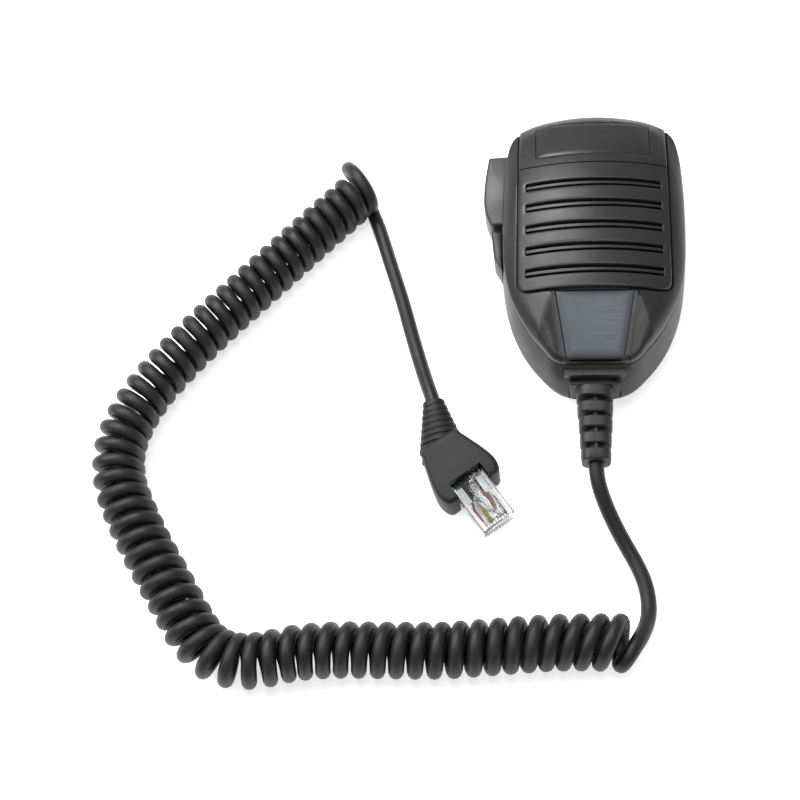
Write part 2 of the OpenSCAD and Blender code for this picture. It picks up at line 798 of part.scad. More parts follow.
module ptt_bar() {
    inner = -side_x + wall + 0.9;
    color("#39393c") difference() {
        union() {
            intersection() {
                translate([0, 0, ptt_z[0]]) linear_extrude(ptt_w) polygon([
                    [inner, ptt_top_y], [-ptt_outer + 1.4, ptt_top_y], [-ptt_outer, ptt_top_y - 17.5],
                    [-ptt_outer + 2.7, ptt_low_y], [inner, ptt_low_y]
                ]);
                translate([0, far, 0]) rotate([90, 0, 0]) linear_extrude(2 * far) ptt_section();
            }
            // lip behind the wall below the window
            translate([inner - 0.2, ptt_low_y - lip_l, ptt_z[0] + 0.6])
                cube([lip_t + 0.2, lip_l + 6, ptt_w - 1.2]);
            // arm and barrel round the pin
            translate([pivot_x, pivot_y, ptt_z[0]]) cylinder(r = pivot_r, h = ptt_w);
            translate([inner - 0.5, pivot_y - pivot_r, ptt_z[0]])
                cube([pivot_x - inner + 0.5, 2 * pivot_r, ptt_w]);
            // nub that presses the switch
            translate([inner - 0.5, nub_y - nub_r, plunger_z - 2]) cube([nub_x - inner + 0.5, 2 * nub_r, 4]);
            translate([nub_x, nub_y, plunger_z - 2]) cylinder(r = nub_r, h = 4);
        }
        translate([pivot_x, pivot_y, 0]) cylinder(r = pin_d / 2 + pin_gap, h = far / 4);
    }
}

module ptt_pin() {
    color("#c4c7cc") translate([pivot_x, pivot_y, pin_z[0]])
        cylinder(d = pin_d, h = pin_z[1] - pin_z[0]);
}

module ptt_switch() {
    bore = plunger_d / 2 + plunger_gap;
    color("#28282a") difference() {
        translate([switch_x, nub_y - switch_l / 2, board_top]) cube([switch_w, switch_l, switch_h]);
        translate([switch_x - 1, nub_y, plunger_z]) rotate([0, 90, 0])
            cylinder(r = bore, h = switch_w);
    }
}

module switch_plunger() {
    tip = nub_x + nub_r + plunger_touch;
    color("#b5352c") translate([tip, nub_y, plunger_z]) rotate([0, 90, 0])
        cylinder(d = plunger_d, h = switch_x + switch_w - 1 - 1.8 - tip);
}

// ---- cable entry

module cable_clamp() {
    color("#343437") difference() {
        translate([-clamp_half, clamp_y - clamp_l / 2, relief_z + 0.1])
            cube([2 * clamp_half, clamp_l, clamp_t - 0.1]);
        translate([0, clamp_y - clamp_l, relief_z]) rotate([-90, 0, 0])
            cylinder(d = cord_d, h = 2 * clamp_l);
        for (side = [-1, 1])
            translate([side * clamp_x, clamp_y, relief_z - 1])
                cylinder(d = small_screw_d + 0.3, h = clamp_t + 2);
    }
}

module inner_jacket() {
    color("#1b1b1c") translate([0, relief_tip_y, relief_z]) rotate([-90, 0, 0])
        cylinder(d = cord_d, h = jacket_in_y - relief_tip_y);
}

// Outside of the strain relief: a stack of collars on a core, tapering to the cord
module relief_stack() {
    collar_l = (relief_l - relief_ribs * rib_gap) / relief_ribs;
    for (i = [0:relief_ribs - 1]) {
        r0 = mix(rib_r[0], rib_r[1], i / relief_ribs);
        r1 = mix(rib_r[0], rib_r[1], (i + 1) / relief_ribs);
        start = rib_gap + i * (collar_l + rib_gap);
        translate([0, 0, start]) cylinder(r1 = r0, r2 = r1, h = collar_l);
    }
    cylinder(r = core_r, h = relief_l - 1);
}

module strain_relief() {
    color("#2e2e30") difference() {
        union() {
            translate([-relief_plate[0] / 2, seat_y[0] - relief_plate[1], relief_z - relief_plate[2] / 2])
                cube(relief_plate);
            translate([-relief_neck[0] / 2, seat_y[0] - eps, relief_z - relief_neck[1] / 2])
                cube([relief_neck[0], seat_y[1] - seat_y[0] + 1.2, relief_neck[1]]);
            translate([0, seat_y[0] - relief_plate[1] + eps, relief_z]) rotate([90, 0, 0]) relief_stack();
        }
        translate([0, -far / 2, relief_z]) rotate([-90, 0, 0]) cylinder(d = cord_d, h = far);
    }
}

// ---- cord

module cord_lead_mic() {
    color("#1b1b1c") tube(mic_route, cord_d, cord_sides);
}

module coiled_cord() {
    color("#1b1b1c") tube(coil_route, coil_d, coil_sides);
}

module cord_lead_plug() {
    finish = [plug_pos[0], plug_pos[1], 0] + spin(tail_end) + [0, 0, axis_z];
    color("#1b1b1c") tube(concat(plug_route, [finish]), cord_d, cord_sides);
}

// ---- plug and boot, made along +X from the plug's visible rear edge

function spin(p) = [
    p[0] * cos(plug_yaw) - p[1] * sin(plug_yaw), p[0] * sin(plug_yaw) + p[1] * cos(plug_yaw), 0
];

module at_plug() {
    translate(plug_pos) rotate([0, 0, plug_yaw]) children();
}

// Points along the middle of the jacket inside the boot
function boot_path() = [
    [tail_end[0], tail_end[1], axis_z],
    [mix(tail_end[0], tail_start[0], 0.5), mix(tail_end[1], tail_start[1], 0.5), axis_z],
    [tail_start[0] - 1.6, 0.75, axis_z], [tail_start[0] + 2, 0, axis_z], [-plug_in, 0, axis_z],
    [jacket_end, 0, axis_z]
];

module boot_slab(z0, z1, inset) {
    half = [for (p = boot_half) [p[0], p[1] - inset]];
    translate([inset / 3, 0, z0]) linear_extrude(z1 - z0)
        polygon(concat(half, [for (i = [len(half) - 1:-1:0]) [half[i][0], -half[i][1]]]));
}

// Tapering tail round the cord, with a groove after each rib
module boot_tail() {
    step = tail_l / tail_ribs;
    ribs = [for (i = [0:tail_ribs - 1])
        let (r = mix(tail_r[0], tail_r[1], i / tail_ribs))
        each [
            [r, i * step], [r - 0.1, (i + 0.55) * step],
            [r - tail_groove, (i + 0.6) * step], [r - tail_groove - 0.1, (i + 0.98) * step]
        ]];
    rotate_extrude() polygon(concat([[cord_r, 0]], ribs, [[cord_r, tail_l]]));
}

module along_tail() {
    translate([tail_start[0], tail_start[1], axis_z]) rotate([0, -90, -tail_turn]) children();
}

module plug_boot() {
    half = plug_w / 2 + boot_gap;
    color("#222224") at_plug() {
        difference() {
            hull() {
                boot_slab(0, 0.4, boot_round);
                boot_slab(boot_round, boot_h - boot_round, 0);
                boot_slab(boot_h - 0.4, boot_h, boot_round + 0.4);
            }
            // pocket for the plug, open in front of the cut-back edge
            translate([-plug_in - boot_gap, -half, plug_z - boot_gap])
                cube([far / 8, 2 * half, plug_h + 2 * boot_gap]);
            translate([0, -half, -1]) cube([far / 8, 2 * half, boot_h + 2]);
            // bores for the jacket
            along_tail() cylinder(d = cord_d, h = tail_l);
            translate([tail_start[0] - 0.6, 0, axis_z]) rotate([0, 90, 0]) cylinder(d = cord_d, h = 14);
        }
        along_tail() boot_tail();
    }
}

module plug_jacket() {
    color("#1b1b1c") at_plug() tube(boot_path(), cord_d, cord_sides);
}

module plug_body() {
    color("#dfe6e8", 0.5) at_plug() difference() {
        translate([-plug_in, -plug_w / 2, plug_z]) cube([plug_l, plug_w, plug_h]);
        // cable cavity
        translate([-plug_in - 1, -cavity_half, axis_z - cavity_h / 2])
            cube([jacket_end + 2 + plug_in + 1, 2 * cavity_half, cavity_h]);
        // room for the conductors
        translate([jacket_end, -cavity_half + 0.3, wire_z - 1])
            cube([blade_a[1] - jacket_end - 0.4, 2 * cavity_half - 0.6, 2]);
        // one slot for each contact
        for (i = [0:contact_count - 1])
            translate([blade_a[0] - 0.05, (i - (contact_count - 1) / 2) * contact_pitch - blade_t / 2 - 0.05, plug_z - 1])
                cube([blade_a[1] - blade_a[0] + 2, blade_t + 0.1, blade_h + 1]);
    }
}

module plug_contacts() {
    color("#d8b44a") at_plug() for (i = [0:contact_count - 1])
        translate([blade_a[0], (i - (contact_count - 1) / 2) * contact_pitch - blade_t / 2, plug_z + 0.3])
            cube([blade_a[1] - blade_a[0], blade_t, blade_h - 0.35]);
}

module plug_wires() {
    colors = ["#e0463c", "#f2f2ee", "#4f9a4f", "#e3c545", "#232323", "#3f66b5", "#e58a3c", "#9a6a44"];
    at_plug() for (i = [0:contact_count - 1]) {
        place = i - (contact_count - 1) / 2;
        b = place * contact_pitch;
        start = [jacket_end, place * lay_pitch, axis_z + (i % 2 - 0.5) * 2 * lay_rise];
        color(colors[i]) tube([
            start, mix(start, [jacket_end + 3.4, b, wire_z], 0.5), [jacket_end + 3.4, b, wire_z],
            [blade_a[1] - 1, b, wire_z]
        ], wire_d, 8);
    }
}

// Sprung tab that rises towards the rear, hinged at the nose
module plug_latch() {
    root_a = plug_l - plug_in - latch_root;
    color("#dfe6e8", 0.5) at_plug() translate([root_a, 0, plug_top + 0.15 + latch_t / 2]) {
        rotate([90, 0, 0]) cylinder(d = latch_t, h = 2 * latch_half[0], center = true);
        difference() {
            rotate([0, latch_rise, 0]) {
                translate([-latch_step, -latch_half[0], -latch_t / 2])
                    cube([latch_step, 2 * latch_half[0], latch_t]);
                translate([-latch_l, -latch_half[1], -latch_t / 2])
                    cube([latch_l, 2 * latch_half[1], latch_t]);
            }
            translate([-1, -far / 8, -far / 4 - latch_t / 2]) cube([far / 4, far / 4, far / 4]);
        }
    }
}

front_shell();
rear_shell();
badge_plate();
top_label_plate();
dust_felt();
mic_element();
element_holder();
circuit_board();
board_screws();
amplifier_chip();
capacitors();
board_connector();
wire_plug();
inner_leads();
ptt_switch();
switch_plunger();
ptt_bar();
ptt_pin();
case_screws();
hang_button();
hang_button_screw();
cable_clamp();
clamp_screws();
inner_jacket();
strain_relief();
cord_lead_mic();
coiled_cord();
cord_lead_plug();
plug_boot();
plug_jacket();
plug_body();
plug_contacts();
plug_wires();
plug_latch();
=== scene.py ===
"""Hand microphone with its curly cord and clear modular plug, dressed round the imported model."""

import math

import bmesh
import bpy
import numpy as np
from mathutils import Matrix, Vector
from mathutils.geometry import delaunay_2d_cdt


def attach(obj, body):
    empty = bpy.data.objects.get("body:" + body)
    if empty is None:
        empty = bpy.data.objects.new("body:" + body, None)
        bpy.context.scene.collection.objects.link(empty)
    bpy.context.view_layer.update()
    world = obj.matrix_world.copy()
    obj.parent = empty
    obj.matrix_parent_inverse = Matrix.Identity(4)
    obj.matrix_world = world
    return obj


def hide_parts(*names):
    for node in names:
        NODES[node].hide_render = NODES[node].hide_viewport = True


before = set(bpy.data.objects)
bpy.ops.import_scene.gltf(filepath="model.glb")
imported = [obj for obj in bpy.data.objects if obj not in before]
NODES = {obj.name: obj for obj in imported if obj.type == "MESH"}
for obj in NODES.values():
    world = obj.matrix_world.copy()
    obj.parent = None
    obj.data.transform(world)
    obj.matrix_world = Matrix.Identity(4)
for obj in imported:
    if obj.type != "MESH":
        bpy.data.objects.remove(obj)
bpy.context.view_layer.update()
MM = 0.001

# ---------------------------------------------------------------- small helpers


def linear(colour):
    """sRGB hex colour as linear red, green, blue and alpha."""
    parts = [int(colour[i : i + 2], 16) / 255 for i in (1, 3, 5)]
    return [c / 12.92 if c <= 0.04045 else ((c + 0.055) / 1.055) ** 2.4 for c in parts] + [1.0]


def add(tree, kind, settings=None, inputs=None):
    """One node, with its own settings by name and each input a value or another node's output."""
    made = tree.nodes.new(kind)
    for name, value in (settings or {}).items():
        setattr(made, name, value)
    for name, value in (inputs or {}).items():
        if isinstance(value, bpy.types.NodeSocket):
            tree.links.new(value, made.inputs[name])
        else:
            made.inputs[name].default_value = value
    return made


def new_object(name, data):
    """An object at the origin, linked to the scene."""
    made = bpy.data.objects.new(name, data)
    bpy.context.scene.collection.objects.link(made)
    return made


def mesh_piece(name, points, faces, smooth=True):
    """A mesh object from points in millimetres, its place in its mesh."""
    mesh = bpy.data.meshes.new(name)
    mesh.from_pydata([tuple(float(v) * MM for v in p) for p in points], [], faces)
    mesh.update()
    piece = new_object(name, mesh)
    clean(piece)
    for face in mesh.polygons:
        face.use_smooth = smooth
    return piece


def clean(piece, distance=2e-6):
    """Merges doubles, drops empty faces and turns every face outwards."""
    work = bmesh.new()
    work.from_mesh(piece.data)
    bmesh.ops.remove_doubles(work, verts=work.verts, dist=distance)
    bmesh.ops.dissolve_degenerate(work, edges=work.edges, dist=distance / 4)
    bmesh.ops.recalc_face_normals(work, faces=work.faces)
    work.to_mesh(piece.data)
    work.free()
    piece.data.update()


def settle(piece):
    """The piece's evaluated shape becomes its plain mesh, with no modifier left."""
    bpy.context.view_layer.update()
    graph = bpy.context.evaluated_depsgraph_get()
    result = bpy.data.meshes.new_from_object(piece.evaluated_get(graph))
    result.name = piece.name
    if piece.type != "MESH":
        settled = new_object(piece.name + "_mesh", result)
        name = piece.name
        bpy.data.objects.remove(piece)
        settled.name = name
        return settled
    piece.modifiers.clear()
    piece.data = result
    return piece


def cut(piece, *cutters, how="DIFFERENCE"):
    """Cuts, or joins, each cutter with the piece and throws the cutter away."""
    for cutter in cutters:
        step = piece.modifiers.new("cut", "BOOLEAN")
        step.operation = how
        step.solver = "EXACT"
        step.object = cutter
        settle(piece)
        bpy.data.objects.remove(cutter)
    return piece


def round_edges(piece, width_mm, segments=2, angle=30):
    """Rounds the edges sharper than an angle, and shades the rest smooth."""
    step = piece.modifiers.new("edges", "BEVEL")
    step.width = width_mm * MM
    step.segments = segments
    step.limit_method = "ANGLE"
    step.angle_limit = math.radians(angle)
    settle(piece)
    shade(piece, angle)
    return piece


def shade(piece, angle=30):
    """Smooth shading, kept sharp where two faces meet at more than an angle."""
    mesh = piece.data
    for face in mesh.polygons:
        face.use_smooth = True
    mesh.set_sharp_from_angle(angle=math.radians(angle))


def block(name, low, high):
    """A box from its lowest to its highest corner, in millimetres."""
    (x0, y0, z0), (x1, y1, z1) = low, high
    points = [(x, y, z) for z in (z0, z1) for x, y in ((x0, y0), (x1, y0), (x1, y1), (x0, y1))]
    faces = [(3, 2, 1, 0), (4, 5, 6, 7)] + [(i, (i + 1) % 4, 4 + (i + 1) % 4, 4 + i) for i in range(4)]
    return mesh_piece(name, points, faces, smooth=False)


def prism(name, shape, low, high):
    """An outline pushed from one height to another."""
    n = len(shape)
    points = [(a, b, c) for c in (low, high) for a, b in shape]
    faces = [tuple(range(n - 1, -1, -1)), tuple(range(n, 2 * n))]
    faces += [(i, (i + 1) % n, n + (i + 1) % n, n + i) for i in range(n)]
    return mesh_piece(name, points, faces, smooth=False)


def turned(name, profile, sides):
    """A closed profile of radius and distance along y, turned round the y axis."""
    points, faces, n = [], [], len(profile)
    for k in range(sides):
        a = 2 * math.pi * k / sides
        for r, h in profile:
            points.append((r * math.cos(a), r * math.sin(a), h))
    for k in range(sides):
        for i in range(n - 1):
            a, b = k * n + i, ((k + 1) % sides) * n + i
            faces.append((a, b, b + 1, a + 1))
    piece = mesh_piece(name, points, faces, smooth=True)
    return place(piece, Matrix.Rotation(math.radians(-90), 4, "X"))


def tube(name, path, radius, round_steps):
    """A capped tube along a path in millimetres, as a curve."""
    data = bpy.data.curves.new(name, "CURVE")
    data.dimensions = "3D"
    data.bevel_depth = radius * MM
    data.bevel_resolution = round_steps
    data.use_fill_caps = True
    run = data.splines.new("POLY")
    run.points.add(len(path) - 1)
    for point, at in zip(run.points, path):
        point.co = (*[float(v) * MM for v in at], 1.0)
    run.use_smooth = True
    return new_object(name, data)


def together(name, parts):
    """Several meshes as one, for parts that don't touch."""
    work = bmesh.new()
    for part in parts:
        work.from_mesh(part.data)
        bpy.data.objects.remove(part)
    mesh = bpy.data.meshes.new(name)
    work.to_mesh(mesh)
    work.free()
    return new_object(name, mesh)


def place(piece, matrix):
    """Moves a piece's mesh, so that its object stays at the origin."""
    piece.data.transform(matrix)
    piece.data.update()
    return piece


def paint(piece, material):
    """Gives a piece one material."""
    piece.data.materials.clear()
    piece.data.materials.append(material)


def hand_over(piece, body, material_slot, material, *replaced):
    """Gives a finished piece its finish, its body and the nodes that it stands for."""
    paint(piece, material)
    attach(piece, body)
    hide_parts(*replaced)


# ---------------------------------------------------------------- camera


def look_from(eye, target, roll):
    """Camera matrix for an eye and a target in millimetres and a small roll in radians."""
    ahead = (Vector(target) - Vector(eye)).normalized()
    right = ahead.cross(Vector((0, 1, 0))).normalized()
    up = right.cross(ahead)
    side = right * math.cos(roll) + up * math.sin(roll)
    top = up * math.cos(roll) - right * math.sin(roll)
    turn = Matrix((side, top, -ahead)).transposed().to_4x4()
    return Matrix.Translation(Vector(eye) * MM) @ turn


EYE = (-10.665, -240.197, 417.421)
TARGET = (-64.386, -46.382, 0.0)
ROLL = 0.049
lens = bpy.data.cameras.new("camera")
lens.lens = 62.25
lens.sensor_width = 36
lens.clip_start = 0.01
lens.clip_end = 60
camera = new_object("camera", lens)
camera.matrix_world = look_from(EYE, TARGET, ROLL)
bpy.context.scene.camera = camera

# ---------------------------------------------------------------- materials


def finish(name, colour, roughness, **sockets):
    """A material with a principled shader, and its tree, shader and object coordinates."""
    material = bpy.data.materials.new(name)
    material.use_nodes = True
    tree = material.node_tree
    shader = next(n for n in tree.nodes if n.type == "BSDF_PRINCIPLED")
    shader.inputs["Base Color"].default_value = linear(colour)
    shader.inputs["Roughness"].default_value = roughness
    for socket, value in sockets.items():
        shader.inputs[socket.replace("_", " ")].default_value = value
    where = add(tree, "ShaderNodeTexCoord").outputs["Object"]
    return material, tree, shader, where


def grain_scale(size_mm):
    """Scale at which a noise or cell pattern repeats every so many millimetres."""
    return 1 / (size_mm * MM)


def tint(tree, where, size_mm, low, high, detail=3.0):
    """Colour that drifts between two hex colours in patches of a size in millimetres."""
    noise = add(
        tree, "ShaderNodeTexNoise", {},
        {"Vector": where, "Scale": grain_scale(size_mm), "Detail": detail},
    )
    return add(
        tree, "ShaderNodeMix", {"data_type": "RGBA"},
        {"Factor": noise.outputs["Fac"], "A": linear(low), "B": linear(high)},
    ).outputs["Result"], noise.outputs["Fac"]


def spread(tree, value, low, high):
    """A pattern's 0.3 to 0.7 stretched to the roughness range that it drives."""
    return add(
        tree, "ShaderNodeMapRange", {},
        {"Value": value, "From Min": 0.3, "From Max": 0.7, "To Min": low, "To Max": high},
    ).outputs["Result"]


def bumps(tree, shader, height, depth_mm):
    """A pattern's relief, with its depth in millimetres."""
    bump = add(
        tree, "ShaderNodeBump", {}, {"Height": height, "Distance": depth_mm * MM, "Strength": 1.0}
    )
    tree.links.new(bump.outputs["Normal"], shader.inputs["Normal"])


def moulded(name, low, high, rough, grain_mm, depth_mm, **sockets):
    """Moulded plastic or rubber: a skin of fine grain, with a slow drift in tone and gloss."""
    material, tree, shader, where = finish(name, low, rough[0], **sockets)
    colour, drift = tint(tree, where, 16, low, high)
    tree.links.new(colour, shader.inputs["Base Color"])
    tree.links.new(spread(tree, drift, *rough), shader.inputs["Roughness"])
    grain = add(
        tree, "ShaderNodeTexNoise", {},
        {"Vector": where, "Scale": grain_scale(grain_mm), "Detail": 2.0},
    )
    bumps(tree, shader, grain.outputs["Fac"], depth_mm)
    return material


# Spark-eroded ABS of the case: satin charcoal, whose fine grain spreads each highlight.
# The real grain is about 0.1 mm, and is drawn at 0.45 mm so that it shows.
CASE = moulded("abs_spark_textured_case", "#19191a", "#212123", (0.34, 0.44), 0.45, 0.02, IOR=1.48)
# The rear shell is the same mould finish as the front, its colour painted a little paler as painted light,
# standing in for the light that falls on its side walls.
CASE_REAR_PAINTED_LIGHTER = moulded("abs_spark_textured_rear_painted_lighter", "#202022", "#2a2a2d", (0.38, 0.48), 0.45, 0.024, IOR=1.48)
# The bar is the same ABS, handled more, so it is a touch glossier.
BAR = moulded("abs_handled_bar", "#1e1e20", "#29292b", (0.34, 0.46), 0.5, 0.018, IOR=1.48)
# Extruded PVC jacket of the cord: near black, satin, with a faint drawn skin.
JACKET = moulded("pvc_extruded_cord_jacket", "#0c0c0d", "#151517", (0.42, 0.56), 0.6, 0.016, IOR=1.46)
# Overmoulded TPE of the strain relief: dark, a little chalkier than the case.
RELIEF = moulded("tpe_overmoulded_relief", "#18181a", "#232326", (0.42, 0.55), 0.5, 0.03, IOR=1.48)
# Soft PVC of the plug's boot: near black with a matte mould skin.
BOOT = moulded("pvc_moulded_boot", "#0a0a0b", "#121214", (0.48, 0.62), 0.5, 0.03, IOR=1.46)
# Glass-filled nylon of the hang button: black, harder and glossier.
NYLON = moulded("nylon_turned_button", "#1c1c1e", "#262628", (0.26, 0.36), 0.4, 0.012, IOR=1.53)
# Silicone rubber of the element's holder: matte.
RUBBER = moulded("silicone_element_holder", "#1b1b1c", "#232324", (0.6, 0.75), 0.5, 0.03, IOR=1.43)
# Epoxy of the chip and the switch's case: flat black with a fine mould grain.
EPOXY = moulded("epoxy_moulded_package", "#1a1a1c", "#242427", (0.45, 0.6), 0.3, 0.015, IOR=1.55)
# Natural nylon of the connector halves: milky, slightly glossy.
HOUSING = moulded("nylon_natural_connector", "#d6cfbf", "#e6e0d2", (0.35, 0.45), 0.5, 0.01, IOR=1.53)
# Acetal of the switch's plunger: waxy red.
ACETAL = moulded("acetal_plunger", "#9c2b22", "#b4372c", (0.35, 0.45), 0.4, 0.008, IOR=1.48)


def drawn_lines(tree, shader, where, rough, line_mm, depth_mm, stretch):
    """Fine lines along one direction, which drive roughness and a shallow bump."""
    drawn = add(tree, "ShaderNodeMapping", {}, {"Vector": where, "Scale": stretch})
    lines = add(
        tree, "ShaderNodeTexNoise", {},
        {"Vector": drawn.outputs["Vector"], "Scale": grain_scale(line_mm), "Detail": 2.0},
    )
    tree.links.new(spread(tree, lines.outputs["Fac"], *rough), shader.inputs["Roughness"])
    bumps(tree, shader, lines.outputs["Fac"], depth_mm)


def clear_plastic():
    """Injection-moulded polycarbonate of the plug: clear, with a faint flow ripple."""
    material, tree, shader, where = finish(
        "polycarbonate_clear_plug", "#f7fbfc", 0.03, IOR=1.585, Transmission_Weight=1.0
    )
    flow = add(
        tree, "ShaderNodeTexNoise", {}, {"Vector": where, "Scale": grain_scale(3), "Detail": 1.0}
    )
    tree.links.new(spread(tree, flow.outputs["Fac"], 0.02, 0.09), shader.inputs["Roughness"])
    bumps(tree, shader, flow.outputs["Fac"], 0.05)
    return material


def anodised_plate():
    """Anodised aluminium badge plate, blank: bluish grey, brushed across, clear lacquer over it."""
    material, tree, shader, where = finish(
        "anodised_blank_badge", "#3b414a", 0.4, Metallic=0.2, Coat_Weight=0.2, Coat_Roughness=0.3
    )
    colour, _ = tint(tree, where, 9, "#333840", "#434a55")
    tree.links.new(colour, shader.inputs["Base Color"])
    drawn_lines(tree, shader, where, (0.36, 0.5), 0.35, 0.008, (0.04, 1.0, 1.0))
    return material


def metal(name, colour, rough, line_mm, depth_mm, stretch):
    """Bare metal with drawn or ground lines of a spacing in millimetres."""
    material, tree, shader, where = finish(name, colour, rough[0], Metallic=1.0)
    drawn_lines(tree, shader, where, rough, line_mm, depth_mm, stretch)
    return material


# Zinc-plated steel of the small screws, ground steel of the pin, gold flash of the contacts
# and drawn aluminium of the element's can: each with the lines that its making leaves.
ZINC = metal("steel_zinc_plated", "#b9bcc2", (0.24, 0.36), 0.3, 0.006, (1, 1, 0.2))
PIN_STEEL = metal("steel_ground_pin", "#c3c6cb", (0.16, 0.26), 0.2, 0.004, (1, 1, 0.1))
GOLD = metal("gold_flashed_contact", "#d9b350", (0.18, 0.28), 0.3, 0.004, (0.2, 1, 1))
CAN = metal("aluminium_drawn_can", "#c9ccd1", (0.3, 0.42), 0.25, 0.005, (1, 1, 0.1))
# Black oxide on the case screws: dark, with an oily sheen.
OXIDE = metal("steel_black_oxide", "#3a3a3d", (0.35, 0.5), 0.3, 0.008, (1, 1, 0.3))


def shrunk_sleeve():
    """Shrunk PVC sleeve of a capacitor: dark blue, with a bare aluminium top."""
    material, tree, shader, where = finish("pvc_sleeved_capacitor", "#26324a", 0.35)
    height = add(tree, "ShaderNodeSeparateXYZ", {}, {"Vector": where}).outputs["Z"]
    top = add(
        tree, "ShaderNodeMapRange", {},
        {"Value": height, "From Min": 16.6 * MM, "From Max": 16.8 * MM},
    ).outputs["Result"]
    colour = add(
        tree, "ShaderNodeMix", {"data_type": "RGBA"},
        {"Factor": top, "A": linear("#26324a"), "B": linear("#c2c5ca")},
    )
    tree.links.new(colour.outputs["Result"], shader.inputs["Base Color"])
    tree.links.new(top, shader.inputs["Metallic"])
    return material


def solder_resist():
    """FR4 board under green solder resist, with copper tracks that show as a lighter green."""
    material, tree, shader, where = finish(
        "fr4_green_solder_resist", "#1f5a30", 0.3, Coat_Weight=0.4, Coat_Roughness=0.15
    )
    tracks = add(
        tree, "ShaderNodeTexBrick", {"offset": 0.37, "squash": 1.0},
        {"Vector": where, "Scale": grain_scale(6), "Mortar Size": 0.05,
         "Color1": linear("#1c5430"), "Color2": linear("#205c34"), "Mortar": linear("#3f8a52")},
    )
    tree.links.new(tracks.outputs["Color"], shader.inputs["Base Color"])
    bumps(tree, shader, tracks.outputs["Fac"], 0.03)
    return material


def pressed_felt():
    """Pressed wool felt behind the louvres: black, no gloss, with a nap of about 0.3 mm."""
    material, tree, shader, where = finish("felt_pressed_dust_screen", "#0e0e10", 0.95, Sheen_Weight=0.2)
    colour, _ = tint(tree, where, 0.4, "#09090a", "#17171a", detail=5.0)
    tree.links.new(colour, shader.inputs["Base Color"])
    nap = add(
        tree, "ShaderNodeTexNoise", {}, {"Vector": where, "Scale": grain_scale(0.3), "Detail": 5.0}
    )
    bumps(tree, shader, nap.outputs["Fac"], 0.12)
    return material


def coloured_insulation():
    """PVC insulation of the conductors, whose colour comes from each wire's own attribute."""
    material, tree, shader, where = finish("pvc_coloured_insulation", "#c04038", 0.32, IOR=1.52)
    stored = add(tree, "ShaderNodeAttribute", {"attribute_name": "insulation"}).outputs["Color"]
    drift = add(
        tree, "ShaderNodeTexNoise", {}, {"Vector": where, "Scale": grain_scale(1.2), "Detail": 2.0}
    )
    shadow = add(
        tree, "ShaderNodeMix", {"data_type": "RGBA", "blend_type": "MULTIPLY"},
        {"Factor": 0.25, "A": stored, "B": drift.outputs["Color"]},
    )
    tree.links.new(shadow.outputs["Result"], shader.inputs["Base Color"])
    bumps(tree, shader, drift.outputs["Fac"], 0.01)
    return material


CLEAR = clear_plastic()
BADGE = anodised_plate()
SLEEVE = shrunk_sleeve()
BOARD = solder_resist()
FELT = pressed_felt()
INSULATION = coloured_insulation()

# ---------------------------------------------------------------- curves and outlines


def through(points, steps, closed=False):
    """Points on a smooth curve through the given ones, so many to each stretch."""
    p = np.asarray(points, float)
    n = len(p)
    out = []
    for i in range(n if closed else n - 1):
        if closed:
            a, b, c, d = p[i - 1], p[i], p[(i + 1) % n], p[(i + 2) % n]
        else:
            b, c = p[i], p[i + 1]
            a = p[i - 1] if i else 2 * b - c
            d = p[i + 2] if i + 2 < n else 2 * c - b
        t = (np.arange(steps) / steps)[:, None]
        out.append(
            0.5 * (2 * b + (c - a) * t + (2 * a - 5 * b + 4 * c - d) * t**2 + (3 * b - a - 3 * c + d) * t**3)
        )
    if not closed:
        out.append(p[-1:])
    return np.vstack(out)


def even(points, gap):
    """The same polyline with points a given distance apart, ends kept."""
    p = np.asarray(points, float)
    lengths = np.concatenate([[0], np.cumsum(np.linalg.norm(np.diff(p, axis=0), axis=1))])
    count = max(2, int(round(lengths[-1] / gap)) + 1)
    at = np.linspace(0, lengths[-1], count)
    return np.column_stack([np.interp(at, lengths, p[:, k]) for k in range(p.shape[1])])


def smooth_step(value, low, high):
    """0 below a range, 1 above it, and a smooth rise in between."""
    t = np.clip((value - low) / (high - low), 0, 1)
    return t * t * (3 - 2 * t)


# Route of the cord in millimetres: the part's own, made smooth
CORD_D, COIL_D, COIL_Z, LIE_Z = 4.8, 18.0, 9.0, 2.4
MIC_ROUTE = [
    (0, -74.5, 12.5), (0.4, -79.5, 11.6), (2.2, -85, 9.2), (5, -91, 6.2), (8.6, -97.5, 3.6),
    (12, -103.5, 2.4), (14.6, -110, 2.4), (15.6, -117, 2.4),
]
# The lead runs into the coil's first turn round its near side. The last turn stands up beyond
# the coil, comes down on its far side and leaves under itself.
FIRST_HALF_TURN = [
    (14.9, -122.6, 3.8), (12.9, -127.8, 7.2), (10.2, -132.6, 9.8), (7.7, -136.3, 9.2), (6.3, -137.3, 6.3),
    (6.3, -134.8, 3.5),
]
LAST_TURN = [
    (-77.3, 27.1, 12.6), (-79.9, 31, 15.1), (-83.4, 36.2, 14), (-86, 40, 10.4), (-85.9, 41, 6.2),
    (-83.2, 38.6, 3.3), (-80.2, 33, 2.5),
]
COIL_ROUTE = [
    (6.5, -130.5), (-11.5, -130.8), (-29, -132.2), (-47, -133.8), (-65, -134), (-80, -134.2),
    (-92, -135.4), (-102, -137.6), (-110, -138), (-117.5, -135.6), (-123.5, -130), (-129, -122),
    (-136, -111.5), (-143.5, -100), (-150, -88.5), (-154, -79.5), (-155.5, -69), (-153.5, -58.5),
    (-148.5, -47.5), (-140.5, -36), (-130, -23.2), (-119, -11), (-108, 1), (-97.5, 12.5),
    (-89, 21.5), (-82, 29),
]
PLUG_ROUTE = [
    (-76.6, 25, 2.4), (-73.6, 17, 2.4), (-69.4, 4, 2.4), (-65, -9.5, 2.4), (-60.8, -24, 2.4),
    (-57, -36.5, 3.4), (-54.6, -44, 5.2),
]
PLUG_AT = Vector((-41.3, -77.6, 0))
